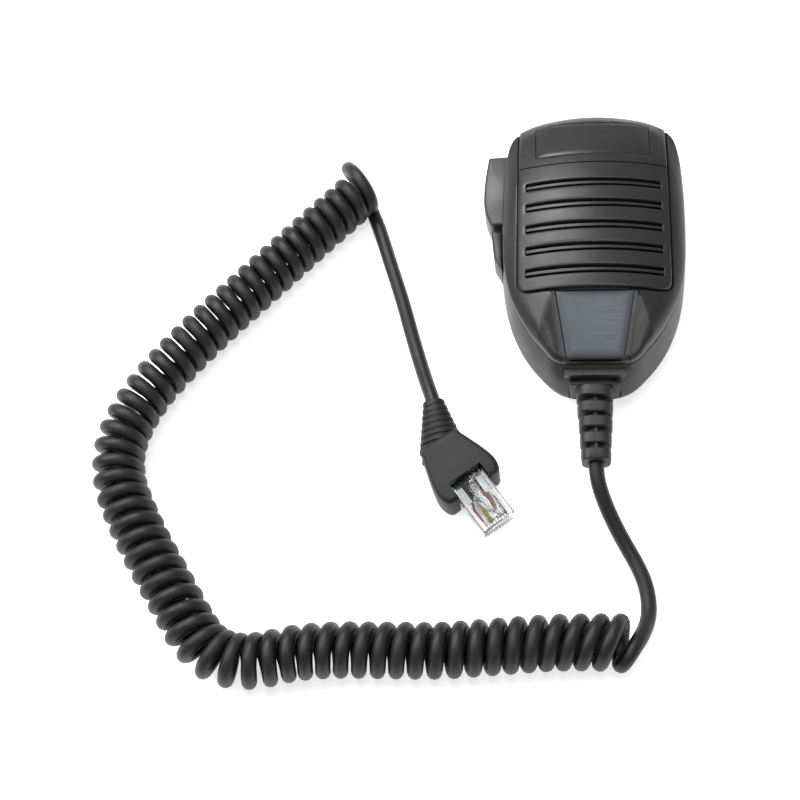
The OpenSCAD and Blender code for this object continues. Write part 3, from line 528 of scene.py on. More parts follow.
# The coil's axis runs on a little at both ends, and the winding starts and stops within it
BEFORE_COIL, AFTER_COIL = (10.5, -130.4), (-78, 33.3)
WOUND_FROM, WOUND_SHORT_OF_END, POINTS_A_TURN, POINTS_LEFT_OFF = 3.9, 1.1, 22, 16
PLUG_TURN = math.radians(-53)
AXIS_Z = 6.3
TAIL_START, TAIL_TURN, TAIL_L = (-12.4, 0.0), math.radians(25), 18.0
AT_PLUG = Matrix.Translation(PLUG_AT * MM) @ Matrix.Rotation(PLUG_TURN, 4, "Z")


def from_plug(a, b, z):
    """A place given along, across and above the plug, in the handset's own millimetres."""
    c, s = math.cos(PLUG_TURN), math.sin(PLUG_TURN)
    return (PLUG_AT.x + a * c - b * s, PLUG_AT.y + a * s + b * c, z)


def winding():
    """Centre line of the coil, wound left-handed round its route, as an array of points."""
    axis = even(through([BEFORE_COIL] + COIL_ROUTE + [AFTER_COIL], 12), 0.1)
    steps = np.concatenate([[0], np.cumsum(np.linalg.norm(np.diff(axis, axis=0), axis=1))])
    total = steps[-1]
    radius = (COIL_D - CORD_D) / 2
    first, last = WOUND_FROM, total - WOUND_SHORT_OF_END
    # the turns stand a little wider apart where the coil bends, and closer on its upper run
    share = np.array([0, 0.3, 0.40, 0.52, 0.66, 0.8, 1.0]) * total
    pitch = np.array([5.75, 5.7, 5.9, 5.75, 5.5, 5.2, 5.15])
    turns_per_mm = 1 / np.interp(steps, share, pitch)
    between = (turns_per_mm[1:] + turns_per_mm[:-1]) / 2 * np.diff(steps)
    turned_so_far = np.concatenate([[0], np.cumsum(between)])
    turned_so_far -= np.interp(first, steps, turned_so_far)
    count = int(round(np.interp(last, steps, turned_so_far)))
    turned_so_far *= count / np.interp(last, steps, turned_so_far)
    turned = np.arange(count * POINTS_A_TURN + 1) / POINTS_A_TURN
    at = np.interp(turned, turned_so_far, steps)
    centre = np.column_stack([np.interp(at, steps, axis[:, k]) for k in (0, 1)])
    ahead = np.column_stack([
        np.interp(at, steps, np.gradient(axis[:, k], steps)) for k in (0, 1)
    ])
    ahead /= np.linalg.norm(ahead, axis=1)[:, None]
    side = np.column_stack([-ahead[:, 1], ahead[:, 0]])
    angle = -math.pi / 2 - 2 * math.pi * turned
    plan = centre + radius * np.cos(angle)[:, None] * side
    # the first turns lean over, pulled by the lead
    plan[:, 0] += 0.3 * smooth_step(plan[:, 0], -34, 4) * (plan[:, 1] - centre[:, 1])
    return np.column_stack([plan, COIL_Z + radius * np.sin(angle)])


def cord_line():
    """The whole centre line, from the strain relief through the coil to the jacket's end."""
    c, s = math.cos(TAIL_TURN), math.sin(TAIL_TURN)
    tail_end = (TAIL_START[0] - TAIL_L * c, TAIL_START[1] + TAIL_L * s)
    inside = [
        from_plug(*tail_end, AXIS_Z),
        from_plug((tail_end[0] + TAIL_START[0]) / 2, (tail_end[1] + TAIL_START[1]) / 2, AXIS_Z),
        from_plug(TAIL_START[0] - 1.6, 0.75, AXIS_Z),
        from_plug(TAIL_START[0] + 2, 0, AXIS_Z),
        from_plug(-2.7, 0, AXIS_Z),
        from_plug(6.5, 0, AXIS_Z),
    ]
    turns = [tuple(p) for p in winding()[:-POINTS_LEFT_OFF:2]]
    route = MIC_ROUTE + FIRST_HALF_TURN + turns + LAST_TURN + PLUG_ROUTE + inside
    path = even(through(route, 6), 1.4)
    for _ in range(4):
        path[1:-1] = (path[:-2] + 2 * path[1:-1] + path[2:]) / 4
    path[:, 2] = np.maximum(path[:, 2], LIE_Z)
    return path


line = cord_line()
cord = tube("handset_cord", line, CORD_D / 2, 4)
paint(cord, JACKET)
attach(cord, "handset")
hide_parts("cord_lead_mic", "coiled_cord", "cord_lead_plug", "plug_jacket")

# ---------------------------------------------------------------- light and floor


def floor_and_light():
    """A pale floor, even white surroundings and three large soft lamps."""
    surface = bpy.data.materials.new("studio_floor_matt_white")
    surface.use_nodes = True
    tree = surface.node_tree
    shader = next(n for n in tree.nodes if n.type == "BSDF_PRINCIPLED")
    shader.inputs["Base Color"].default_value = linear("#fafafa")
    shader.inputs["Roughness"].default_value = 0.9
    shader.inputs["Specular IOR Level"].default_value = 0.1
    shader.inputs["Emission Color"].default_value = (1, 1, 1, 1)
    shader.inputs["Emission Strength"].default_value = 0.6
    size = 20000
    corner_signs = ((-1, -1), (1, -1), (1, 1), (-1, 1))
    ground = mesh_piece("floor", [(a * size, b * size, 0) for a, b in corner_signs], [(0, 1, 2, 3)])
    paint(ground, surface)
    world = bpy.data.worlds.new("studio")
    world.use_nodes = True
    background = next(n for n in world.node_tree.nodes if n.type == "BACKGROUND")
    background.inputs["Color"].default_value = (1, 1, 1, 1)
    background.inputs["Strength"].default_value = 0.45
    bpy.context.scene.world = world
    # plain display, so that white surroundings stay white
    bpy.context.scene.view_settings.view_transform = "Standard"
    for name, at, width, power in (
        ("lamp_key", (-240, 430, 650), 230, 3.6),
        ("lamp_left", (-520, 60, 520), 420, 3.2),
        ("lamp_over", (20, -40, 700), 260, 1.0),
    ):
        lamp = bpy.data.lights.new(name, "AREA")
        lamp.energy = power
        lamp.size = width * MM
        holder = new_object(name, lamp)
        aim = (Vector((-40, -30, 10)) - Vector(at)).to_track_quat("-Z", "Y")
        holder.matrix_world = Matrix.Translation(Vector(at) * MM) @ aim.to_matrix().to_4x4()


floor_and_light()

# ---------------------------------------------------------------- the case's shape

BACK_Z, PART_Z, TOP_Z, FLOOR_Z = 5.0, 21.5, 33.0, 7.0
WALL, PANEL_STEP, PANEL_X, PANEL_LOW = 2.0, 0.9, 24.4, -21.4
GIRTH = [
    (0, 49.5), (11, 48.7), (20.5, 46.3), (26.8, 42), (29.4, 34), (30.3, 20), (30.3, 5),
    (30, -9), (28, -22), (23.8, -33.5), (17.8, -42.5), (10.5, -49), (0, -50.5),
]
PARTING = [
    (0, 49.5), (11, 48.6), (20.2, 46.1), (26.2, 41.7), (28.8, 33.5), (29.8, 20), (29.9, 5),
    (29.3, -9), (27, -20.5), (22.6, -30.5), (17.2, -38.5), (11.5, -43.9), (0, -44.5),
]


def outline(share, inset=0.0, steps=10):
    """The case's outline, part way from its girth to its parting line, moved in by an inset."""
    half = (1 - share) * np.array(GIRTH) + share * np.array(PARTING)
    whole = np.vstack([half, half[-2:0:-1] * (-1, 1)])
    loop = through(whole, steps, closed=True)
    run = np.roll(loop, -1, 0) - np.roll(loop, 1, 0)
    run /= np.linalg.norm(run, axis=1)[:, None]
    return loop + inset * np.column_stack([run[:, 1], -run[:, 0]])


# The crown is an arc across and a parabola along, steeper above its highest line than below it
CROWN_R, CROWN_Y, FALL_ABOVE, FALL_BELOW = 75, 12, 190, 1200


def crown(x, y):
    """Height of the grille's crown above a place."""
    across = CROWN_R - np.sqrt(np.maximum(CROWN_R**2 - x * x, 0))
    along = (y - CROWN_Y) ** 2 / np.where(y > CROWN_Y, FALL_ABOVE, FALL_BELOW)
    return TOP_Z - across - along


FACE_SLOPE, CHEEK_SLOPE, CHEEK_LEAN = (math.tan(math.radians(a)) for a in (15, 14, 8.5))
# The lower face starts this far below the crown's top, between cheeks this far from the middle
FACE_DROP, CHEEK_X = 2.6, 14.4
RIM = outline(1, steps=20)


def rim_distance(x, y):
    """How far a place lies in from the parting line's outline."""
    flat = np.column_stack([np.ravel(x), np.ravel(y)])
    a, b = RIM, np.roll(RIM, -1, 0)
    best = np.full(len(flat), 1e9)
    run = b - a
    size = (run**2).sum(1)
    for i in range(0, len(flat), 2000):
        p = flat[i : i + 2000, None, :]
        t = np.clip(((p - a) * run).sum(2) / size, 0, 1)
        gap = np.linalg.norm(a + t[..., None] * run - p, axis=2)
        best[i : i + 2000] = gap.min(1)
    return best.reshape(np.shape(x))

# ---------------------------------------------------------------- shapes that repeat


def new_tree(name, **sockets):
    """Geometry Nodes tree with the named inputs, and its group input's outputs."""
    tree = bpy.data.node_groups.new(name, "GeometryNodeTree")
    tree.interface.new_socket(name="Geometry", in_out="OUTPUT", socket_type="NodeSocketGeometry")
    for socket, kind in sockets.items():
        title = socket.replace("_", " ")
        tree.interface.new_socket(name=title, in_out="INPUT", socket_type="NodeSocket" + kind)
    return tree, add(tree, "NodeGroupInput").outputs


def end_tree(tree, given, points, shape, **placing):
    """Puts a shape on points, realizes the copies and gives them the tree's material."""
    copies = add(
        tree, "GeometryNodeInstanceOnPoints", {}, {"Points": points, "Instance": shape, **placing}
    )
    whole = add(tree, "GeometryNodeRealizeInstances", {}, {"Geometry": copies.outputs[0]})
    finished = add(
        tree, "GeometryNodeSetMaterial", {}, {"Geometry": whole.outputs[0], "Material": given["Material"]}
    )
    add(tree, "NodeGroupOutput", {}, {"Geometry": finished.outputs[0]})
    return tree


def row_tree():
    """Geometry Nodes: one master piece set out in a row, each copy a little smaller and off true."""
    tree, given = new_tree(
        "row_of_copies", Master="Geometry", Count="Int", Step="Vector", Shrink="Float", Off_true="Float",
        Seed="Int", Material="Material",
    )
    places = add(
        tree, "GeometryNodeMeshLine", {"mode": "OFFSET"}, {"Count": given["Count"], "Offset": given["Step"]}
    )
    number = add(tree, "GeometryNodeInputIndex").outputs["Index"]
    less = add(tree, "ShaderNodeMath", {"operation": "MULTIPLY"}, {0: number, 1: given["Shrink"]})
    size = add(tree, "ShaderNodeMath", {"operation": "SUBTRACT"}, {0: 1.0, 1: less.outputs[0]})
    scale = add(tree, "ShaderNodeCombineXYZ", {}, {"X": size.outputs[0], "Y": 1.0, "Z": size.outputs[0]})
    back = add(tree, "ShaderNodeMath", {"operation": "MULTIPLY"}, {0: given["Off true"], 1: -1.0})
    low = add(tree, "ShaderNodeCombineXYZ", {}, {"X": back.outputs[0], "Z": back.outputs[0]})
    high = add(tree, "ShaderNodeCombineXYZ", {}, {"X": given["Off true"], "Z": given["Off true"]})
    lean = add(
        tree, "FunctionNodeRandomValue", {"data_type": "FLOAT_VECTOR"},
        {0: low.outputs[0], 1: high.outputs[0], "Seed": given["Seed"]},
    )
    return end_tree(
        tree, given, places.outputs["Mesh"], given["Master"], Rotation=lean.outputs[0],
        Scale=scale.outputs[0],
    )


def screw_tree():
    """Geometry Nodes: a cross-recessed screw, point upwards, at each given point."""
    tree, given = new_tree(
        "screws_at_points", Points="Geometry", Head_radius="Float", Head_height="Float",
        Shank_radius="Float", Shank_length="Float", Recess="Float", Seed="Int", Material="Material",
    )

    def times(value, factor):
        return add(tree, "ShaderNodeMath", {"operation": "MULTIPLY"}, {0: value, 1: factor}).outputs[0]

    def lifted(shape, height):
        up = add(tree, "ShaderNodeCombineXYZ", {}, {"Z": height})
        return add(
            tree, "GeometryNodeTransform", {}, {"Geometry": shape, "Translation": up.outputs[0]}
        ).outputs[0]

    head = add(
        tree, "GeometryNodeMeshCone", {},
        {"Vertices": 32, "Radius Top": given["Head radius"], "Depth": given["Head height"],
         "Radius Bottom": times(given["Head radius"], 0.86)},
    )
    shank = add(
        tree, "GeometryNodeMeshCylinder", {},
        {"Vertices": 20, "Radius": given["Shank radius"], "Depth": given["Shank length"]},
    )
    raised = times(given["Shank length"], 0.5)
    overlap = add(
        tree, "ShaderNodeMath", {"operation": "ADD"}, {0: raised, 1: times(given["Head height"], 0.98)}
    )
    deep = times(given["Recess"], 1.1)
    bars = []
    for width, length in ((0.42, 2.0), (2.0, 0.42)):
        size = add(
            tree, "ShaderNodeCombineXYZ", {},
            {"X": times(given["Recess"], width), "Y": times(given["Recess"], length), "Z": deep},
        )
        bars.append(add(tree, "GeometryNodeMeshCube", {}, {"Size": size.outputs[0]}).outputs[0])
    body = add(
        tree, "GeometryNodeMeshBoolean", {"operation": "UNION", "solver": "EXACT"},
        {"Mesh 2": head.outputs[0]},
    )
    tree.links.new(lifted(shank.outputs[0], overlap.outputs[0]), body.inputs["Mesh 2"])
    cross = add(
        tree, "GeometryNodeMeshBoolean", {"operation": "UNION", "solver": "EXACT"}, {"Mesh 2": bars[0]}
    )
    tree.links.new(bars[1], cross.inputs["Mesh 2"])
    recessed = add(
        tree, "GeometryNodeMeshBoolean", {"operation": "DIFFERENCE", "solver": "EXACT"},
        {"Mesh 1": body.outputs[0], "Mesh 2": cross.outputs[0]},
    )
    full = add(tree, "ShaderNodeCombineXYZ", {}, {"Z": 2 * math.pi})
    spin = add(
        tree, "FunctionNodeRandomValue", {"data_type": "FLOAT_VECTOR"},
        {0: (0, 0, 0), 1: full.outputs[0], "Seed": given["Seed"]},
    )
    return end_tree(tree, given, given["Points"], recessed.outputs[0], Rotation=spin.outputs[0])


ROW, SCREWS = row_tree(), screw_tree()


def grown(piece, tree, inputs):
    """Runs a tree on a piece, each input found by its socket's identifier, and keeps its mesh."""
    step = piece.modifiers.new("grown", "NODES")
    step.node_group = tree
    sockets = {s.name: s.identifier for s in tree.interface.items_tree if s.in_out == "INPUT"}
    for name, value in inputs.items():
        step[sockets[name]] = value
    return settle(piece)


def in_a_row(master, count, step, shrink, off_true, seed, material):
    """A master piece and its copies in a row, a step apart, as one mesh."""
    return grown(master, ROW, {
        "Count": count, "Step": step, "Shrink": shrink, "Off true": off_true, "Seed": seed,
        "Material": material,
    })


def screws(name, places, head, shank, recess, material, seed=3):
    """Screws with their heads at the given places, head and shank each a radius and a length."""
    piece = mesh_piece(name, [(x, y, 0) for x, y, _ in places], [])
    grown(piece, SCREWS, {
        "Head radius": head[0] * MM, "Head height": head[1] * MM, "Shank radius": shank[0] * MM,
        "Shank length": shank[1] * MM, "Recess": recess * MM, "Seed": seed, "Material": material,
    })
    place(piece, Matrix.Translation((0, 0, places[0][2] * MM)))
    shade(piece)
    return piece


# ---------------------------------------------------------------- front cover


def rounded(corners, radius, steps=5):
    """A counter-clockwise outline whose corners are rounded over a distance."""
    p = np.array(corners, float)
    t = np.linspace(0, 1, steps + 1)[:, None]
    out = []
    for i, corner in enumerate(p):
        back, ahead = p[i - 1] - corner, p[(i + 1) % len(p)] - corner
        a = corner + radius * back / np.linalg.norm(back)
        b = corner + radius * ahead / np.linalg.norm(ahead)
        out.append((1 - t) ** 2 * a + 2 * t * (1 - t) * corner + t**2 * b)
    return np.vstack(out)


def outward(shape):
    """The outward direction of each of an outline's edges."""
    run = np.roll(shape, -1, 0) - shape
    return np.column_stack([run[:, 1], -run[:, 0]]) / np.linalg.norm(run, axis=1)[:, None]


def beyond(places, shape):
    """How far each place lies outside a convex outline, negative inside it."""
    normal = outward(shape)
    return (places @ normal.T - (shape * normal).sum(1)).max(1)


def moved_out(shape, gap):
    """The same outline moved out by a gap."""
    normal = outward(shape)
    before = np.roll(normal, 1, 0)
    return shape + gap * (normal + before) / (1 + (normal * before).sum(1))[:, None]


def dense(loop, gap=0.9):
    """The same closed loop with points added along its long edges, its corners kept."""
    out = []
    for a, b in zip(loop, np.roll(loop, -1, 0)):
        count = max(1, math.ceil(np.linalg.norm(b - a) / gap))
        out.append(a + (b - a) * (np.arange(count) / count)[:, None])
    return np.vstack(out)


def strip(half_top, y_top, half_low, y_low):
    """Corners of a symmetric four-sided outline."""
    return [(-half_low, y_low), (half_low, y_low), (half_top, y_top), (-half_top, y_top)]


SLOT_TOPS = [18.6 - 8.1 * i for i in range(5)]
SLOT_H, SLOT_HALF, GAP_TOP, GAP_LOW = 3.0, 22.0, 0.95, 1.1
LABEL = rounded(strip(19, 44.3, 19, 29), 1.4)
BADGE_SHAPE = rounded(strip(12.7, -22, 9.2, -43.2), 0.8)
# Each feature: its outline, then how far out each line lies and how far the surface drops there
PANEL_FEATURES = [
    (rounded(strip(PANEL_X, 62, PANEL_X, PANEL_LOW), 4),
     [(-0.35, 0), (-0.1, -0.07), (0, -0.25), (0.04, -1.9), (0.62, -1.9), (0.68, -1.0), (1.0, -PANEL_STEP)]),
    (LABEL, [(-0.04, -0.5), (0, -0.06), (0.14, 0)]),
    (np.array(strip(24.3, 25.5, 24.3, 25.1)), [(-0.06, -0.35), (0.05, 0)]),
] + [
    (rounded(strip(SLOT_HALF, top, SLOT_HALF, top - SLOT_H), 0.5, 3),
     [(-0.06, -0.65), (0, -0.3), (0.1, -0.1), (0.3, 0)])
    for top in SLOT_TOPS
]
FACE_FEATURES = [
    (BADGE_SHAPE, [(-0.04, -1.5), (0, -0.1), (0.15, 0)]),
    (rounded(strip(14.15, -21.9, 10.5, -47), 0.5, 3), [(-0.5, 0), (-0.45, -0.55), (0, -0.55), (0.06, 0)]),
    (rounded(strip(8.0, -43.75, 7.8, -44.25), 0.2, 2), [(-0.06, -1.4), (0.05, 0)]),
]
RIM_LINES = (0, 0.03, 0.12, 0.3, 0.6, 1, 1.5, 2.1, 2.8, 3.7, 4.7, 5.7)


def drop(places, features):
    """How far the features lower the surface at each place."""
    total = np.zeros(len(places))
    for shape, profile in features:
        total += np.interp(beyond(places, shape), [o for o, _ in profile], [z for _, z in profile])
    return total


def front_height(places):
    """Height of the front cover's outside: crown, panel, lower face with cheeks, rounded rim."""
    x, y = places.T
    top = crown(x, y) + drop(places, PANEL_FEATURES)
    down = np.maximum(PANEL_LOW - y, 0)
    face = TOP_Z - FACE_DROP - down * FACE_SLOPE
    cheek = face + (np.abs(x) - (CHEEK_X - down * CHEEK_LEAN)) * CHEEK_SLOPE
    low = np.minimum(top, np.maximum(face, cheek))
    top = np.where(y < PANEL_LOW - 0.02, low, top)
    tight = smooth_step(-y, 33, 43)
    reach = 5.6 * (1 - tight) + 1.5 * tight
    fall = np.clip(top - PART_Z - 1.2, 0.2, 5.0)
    t = np.clip(1 - rim_distance(x, y) / reach, 0, 1)
    top = top - fall * (1 - np.sqrt(np.maximum(1 - t * t, 0)))
    return np.maximum(top + drop(places, FACE_FEATURES) * (y < PANEL_LOW), PART_Z + 0.4)


def inside_rim(places, loop):
    """Whether each place lies inside a closed loop."""
    a, b = loop, np.roll(loop, -1, 0)
    x, y = places[:, :1], places[:, 1:]
    crosses = (a[:, 1] > y) != (b[:, 1] > y)
    rise = np.where(b[:, 1] == a[:, 1], 1e-12, b[:, 1] - a[:, 1])
    return (crosses & (x < (b[:, 0] - a[:, 0]) * (y - a[:, 1]) / rise + a[:, 0])).sum(1) % 2 == 1


def front_skin():
    """The cover's outside as triangles whose edges keep to every line of its features."""
    loops = [outline(1, inset=d) for d in RIM_LINES]
    for shape, profile in PANEL_FEATURES + FACE_FEATURES:
        loops += [dense(moved_out(shape, out)) for out, _ in profile]
    creases = [
        [(s * CHEEK_X, PANEL_LOW - 0.9), (s * (CHEEK_X - 21 * CHEEK_LEAN), PANEL_LOW - 21)] for s in (-1, 1)
    ]
    places, edges = [], []
    for loop in loops:
        n, first = len(loop), len(places)
        places += [tuple(p) for p in loop]
        edges += [(first + i, first + (i + 1) % n) for i in range(n)]
    for crease in creases:
        run = even(np.array(crease), 0.8)
        first = len(places)
        places += [tuple(p) for p in run]
        edges += [(first + i, first + i + 1) for i in range(len(run) - 1)]
    gap = 0.85
    x, y = np.meshgrid(np.arange(-31, 31, gap), np.arange(-46, 51, gap))
    inner = np.column_stack([x.ravel(), y.ravel()])
    free = inside_rim(inner, RIM) & (rim_distance(inner[:, 0], inner[:, 1]) > RIM_LINES[-1])
    for shape, profile in PANEL_FEATURES + FACE_FEATURES:
        far = beyond(inner, shape)
        free &= (far < profile[0][0] - 0.3) | (far > profile[-1][0] + 0.3)
    places += [tuple(p) for p in inner[free]]
    found, _, faces, *_ = delaunay_2d_cdt([Vector(p) for p in places], edges, [], 0, 1e-5)
    flat = np.array([(v.x, v.y) for v in found])
    middles = np.array([flat[list(f)].mean(0) for f in faces])
    kept = [f for f, ok in zip(faces, inside_rim(middles, loops[0])) if ok]
    return flat, kept


def domed(name, rings):
    """A closed solid from rings of equal length, each end closed by a flat face."""
    n = len(rings[0])
    points = [tuple(p) for ring in rings for p in ring]
    faces = [tuple(range(n - 1, -1, -1)), tuple(range(n * (len(rings) - 1), n * len(rings)))]
    for k in range(len(rings) - 1):
        low, high = k * n, (k + 1) * n
        faces += [(low + i, low + (i + 1) % n, high + (i + 1) % n, high + i) for i in range(n)]
    return mesh_piece(name, points, faces)


def level(loop, z):
    """An outline at one height."""
    return [(x, y, z) for x, y in loop]


def front_cover():
    """Front shell: the skin, its closed rim, the hollow inside it and the gaps in the louvres."""
    flat, faces = front_skin()
    heights = front_height(flat)
    mesh = bpy.data.meshes.new("front_cover")
    mesh.from_pydata([(x * MM, y * MM, z * MM) for (x, y), z in zip(flat, heights)], [], faces)
    work = bmesh.new()
    work.from_mesh(mesh)
    bmesh.ops.delete(work, geom=[v for v in work.verts if not v.link_faces], context="VERTS")
    bmesh.ops.remove_doubles(work, verts=work.verts, dist=2e-6)
    for z, share in ((PART_Z + 0.28, 1.0), (PART_Z, 0.992)):
        border = [e for e in work.edges if e.is_boundary]
        made = bmesh.ops.extrude_edge_only(work, edges=border)["geom"]
        for vertex in (g for g in made if isinstance(g, bmesh.types.BMVert)):
            vertex.co = (vertex.co.x * share, vertex.co.y * share, z * MM)
    bmesh.ops.contextual_create(work, geom=[e for e in work.edges if e.is_boundary])
    bmesh.ops.recalc_face_normals(work, faces=work.faces)
    work.to_mesh(mesh)
    work.free()
    piece = new_object("front_cover", mesh)
    rings = [level(outline(1, inset=WALL + 0.3), PART_Z - 4)]
    for share in (0, 0.03, 0.1, 0.2, 0.35, 0.5, 0.65, 0.8, 0.93):
        loop = outline(1, inset=WALL + 0.3) * (1 - share)
        x, y = loop.T
        down = np.maximum(PANEL_LOW - y, 0)
        under = np.minimum(crown(x, y) - 2.9, TOP_Z - 5.6 - down * FACE_SLOPE)
        edge = 4.5 * (1 - math.sqrt(1 - (1 - min(share / 0.2, 1)) ** 2))
        rings.append([(a, b, max(c - edge, PART_Z + 0.3)) for a, b, c in zip(x, y, under)])
    hollow = domed("hollow", rings)
    cut(piece, hollow)
    half, gaps = SLOT_HALF - 0.1, []
    for top in SLOT_TOPS:
        for low, high in ((top - GAP_TOP, top - 0.1), (top - SLOT_H + 0.1, top - SLOT_H + GAP_LOW)):
            gaps.append(block("gap", (-half, low, 22), (half, high, 40)))
    cut(piece, together("gaps", gaps))
    shade(piece, 32)
    hand_over(piece, "handset", "case_front", CASE, "front_shell")


front_cover()


# ---------------------------------------------------------------- rear cover

POSTS = [(-18.3, 39.3), (18.3, 39.3), (-16.8, -31.6), (16.8, -31.6)]
POST_R, POST_TOP, BORE_R, SEAT_R, SEAT_Z = 3.4, 19, 1.3, 2.8, 9
HEAD_R, HEAD_H = 2.5, 1.9


def case_rings(inset, floor):
    """Rings of the rear half from its floor up to the parting line, moved in by an inset."""
    rings = []
    for turn in np.linspace(90, 0, 9):
        a = math.radians(turn)
        rings.append(level(
            outline(0, inset=inset + 3 * (1 - math.cos(a))), floor + (9.5 - floor) * (1 - math.sin(a))
        ))
    for share, z in ((0.08, 10.8), (0.2, 12.8), (0.33, 14.8), (0.47, 16.7), (0.7, 18.8), (0.95, 21.2)):
        rings.append(level(outline(share, inset=inset), z))
    return rings


def rod(name, x, y, radius, low, high, sides=40):
    """An upright round bar at a place."""
    angle = [2 * math.pi * i / sides for i in range(sides)]
    return prism(name, [(x + radius * math.cos(a), y + radius * math.sin(a)) for a in angle], low, high)


def rear_cover():
    """Rear shell: hollow, with its screw posts, the lug below the bar, and the relief's recess."""
    piece = domed("rear_cover", case_rings(0, BACK_Z) + [level(outline(1, inset=0.25), PART_Z)])
    cut(piece, domed("hollow", case_rings(WALL, FLOOR_Z) + [level(outline(1, inset=WALL), PART_Z + 1)]))
    posts = [rod("post", x, y, POST_R, FLOOR_Z - 1, POST_TOP) for x, y in POSTS]
    ledge = block("ledge", (-9.7, -47.5, 18.3), (9.7, -45.4, 20.6))
    lug = prism("lug", [(-30, 5.6), (-33.9, 7.2), (-32.6, -4), (-29.8, -9)], 9.4, 20.6)
    round_edges(lug, 0.9, 3)
    cut(piece, together("posts", posts + [ledge]), lug, how="UNION")
    cut(piece, together("cutters", [
        block("window", (-31.3, 7.7, 8.2), (-25.3, 36.4, 23)),
        block("plate_recess", (-8.35, -60, 7.05), (8.35, -48, 17.95)),
    ] + [rod("bore", x, y, BORE_R, 2, 30) for x, y in POSTS]))
    cut(piece, together("heads", [rod("head", x, y, SEAT_R, 2, SEAT_Z) for x, y in POSTS]))
    cut(piece, together("more", [
        block("neck", (-5.15, -70, 7.85), (5.15, -42.1, 17.1)), rod("seat", 0, 0, 5.0, 2, 5.4),
    ]))
    shade(piece, 32)
    # The rear shell takes the case ABS painted paler, a painted light on its walls.
    hand_over(piece, "handset", "case_rear", CASE_REAR_PAINTED_LIGHTER, "rear_shell")


rear_cover()


# ---------------------------------------------------------------- badge, label and talk bar


def plate(name, shape, inset, surface, thick, rounding):
    """A thin blank plate that follows a surface, its upper edge rounded."""
    rings = []
    for extra, lower in ((0, thick), (0, rounding), (rounding * 0.4, rounding * 0.3), (rounding, 0)):
        loop = moved_out(dense(shape), -inset - extra)
        rings.append([(x, y, z - lower) for (x, y), z in zip(loop, surface(loop))])
    middle = shape.mean(0)
    for share in (0.25, 0.5, 0.75, 0.94):
        loop = moved_out(dense(shape), -inset - rounding) * (1 - share) + middle * share
        rings.append([(x, y, z) for (x, y), z in zip(loop, surface(loop))])
    return domed(name, rings)


def lower_face(places):
    """Height of the lower face under each place."""
    return TOP_Z - FACE_DROP - np.maximum(PANEL_LOW - places[:, 1], 0) * FACE_SLOPE


badge = plate("blank_badge", BADGE_SHAPE, 0.16, lambda p: lower_face(p) - 0.5, 0.98, 0.22)
shade(badge, 35)
hand_over(badge, "handset", "badge", BADGE, "badge_plate")
label = plate("blank_label", LABEL, 0.2, lambda p: crown(p[:, 0], p[:, 1]) - 0.08, 0.4, 0.12)
shade(label, 35)
hand_over(label, "handset", "case_front", CASE, "top_label_plate")


HINGE, BARREL_R, PIN_BORE_R = (-25.1, 32), 2.3, 1.05
BAR_BACK, BAR_LOW, BAR_HIGH, BAR_MIDDLE = -27.6, 9.2, 20.4, 14.8


def talk_bar():
    """Push-to-talk bar: a long rocker with a bevelled face, its lip, hinge barrel and nub."""
    side = [(-35.1, 36), (-36.2, 27), (-36.5, 18.5), (-35.6, 13.2), (-33.8, 8.6)]
    face = through(side, 6)
    piece = prism("talk_bar", [(-27.4, 8.6), (-27.4, 36)] + [tuple(p) for p in face], 8.6, 21)
    for vertex in piece.data.vertices:
        lean = max(0.0, (-vertex.co.x / MM - 31) / 5.5)
        middle = BAR_MIDDLE * MM
        vertex.co.z = middle + (vertex.co.z - middle) * (1 - 0.14 * lean)
    round_edges(piece, 1.7, 4, angle=40)
    lip = block("lip", (BAR_BACK, 5.6, BAR_LOW), (-26, 14.6, BAR_HIGH))
    round_edges(lip, 0.25)
    nub = block("nub", (BAR_BACK, 12.4, 13.6), (-22.9, 15.6, 17.6))
    round_edges(nub, 0.4)
    barrel = rod("barrel", *HINGE, BARREL_R, BAR_LOW, BAR_HIGH)
    web = block("web", (BAR_BACK, HINGE[1] - 2, BAR_LOW), (HINGE[0], HINGE[1] + 2, BAR_HIGH))
    cut(piece, lip, nub, web, barrel, how="UNION")
    cut(piece, rod("bore", *HINGE, PIN_BORE_R, 5, 25))
    shade(piece, 30)
    hand_over(piece, "talk_bar", "bar", BAR, "ptt_bar")


talk_bar()


# ---------------------------------------------------------------- strain relief

RELIEF_Z, RELIEF_Y = 12.5, -49.5
COLLARS, COLLAR_STEP, COLLAR_SHRINK = 5, 5.28, 0.052
SQUARENESS = 3.4


def relief_collar():
    """One collar of the strain relief, a square with round sides, along -y from its own origin."""
    profile = [
        (2.9, 0), (5.6, 0), (5.95, -0.35), (6.0, -1.2), (5.8, -3.35), (5.45, -3.7), (2.9, -3.7), (2.9, 0),
    ]
    collar = turned("relief_collars", profile, 64)
    for vertex in collar.data.vertices:
        x, z = vertex.co.x, vertex.co.z
        reach = math.hypot(x, z)
        if reach > 3.5 * MM:
            c, s = abs(x) / reach, abs(z) / reach
            grow = (c**SQUARENESS + s**SQUARENESS) ** (-1 / SQUARENESS)
            vertex.co.x, vertex.co.z = x * grow, z * grow
    return collar


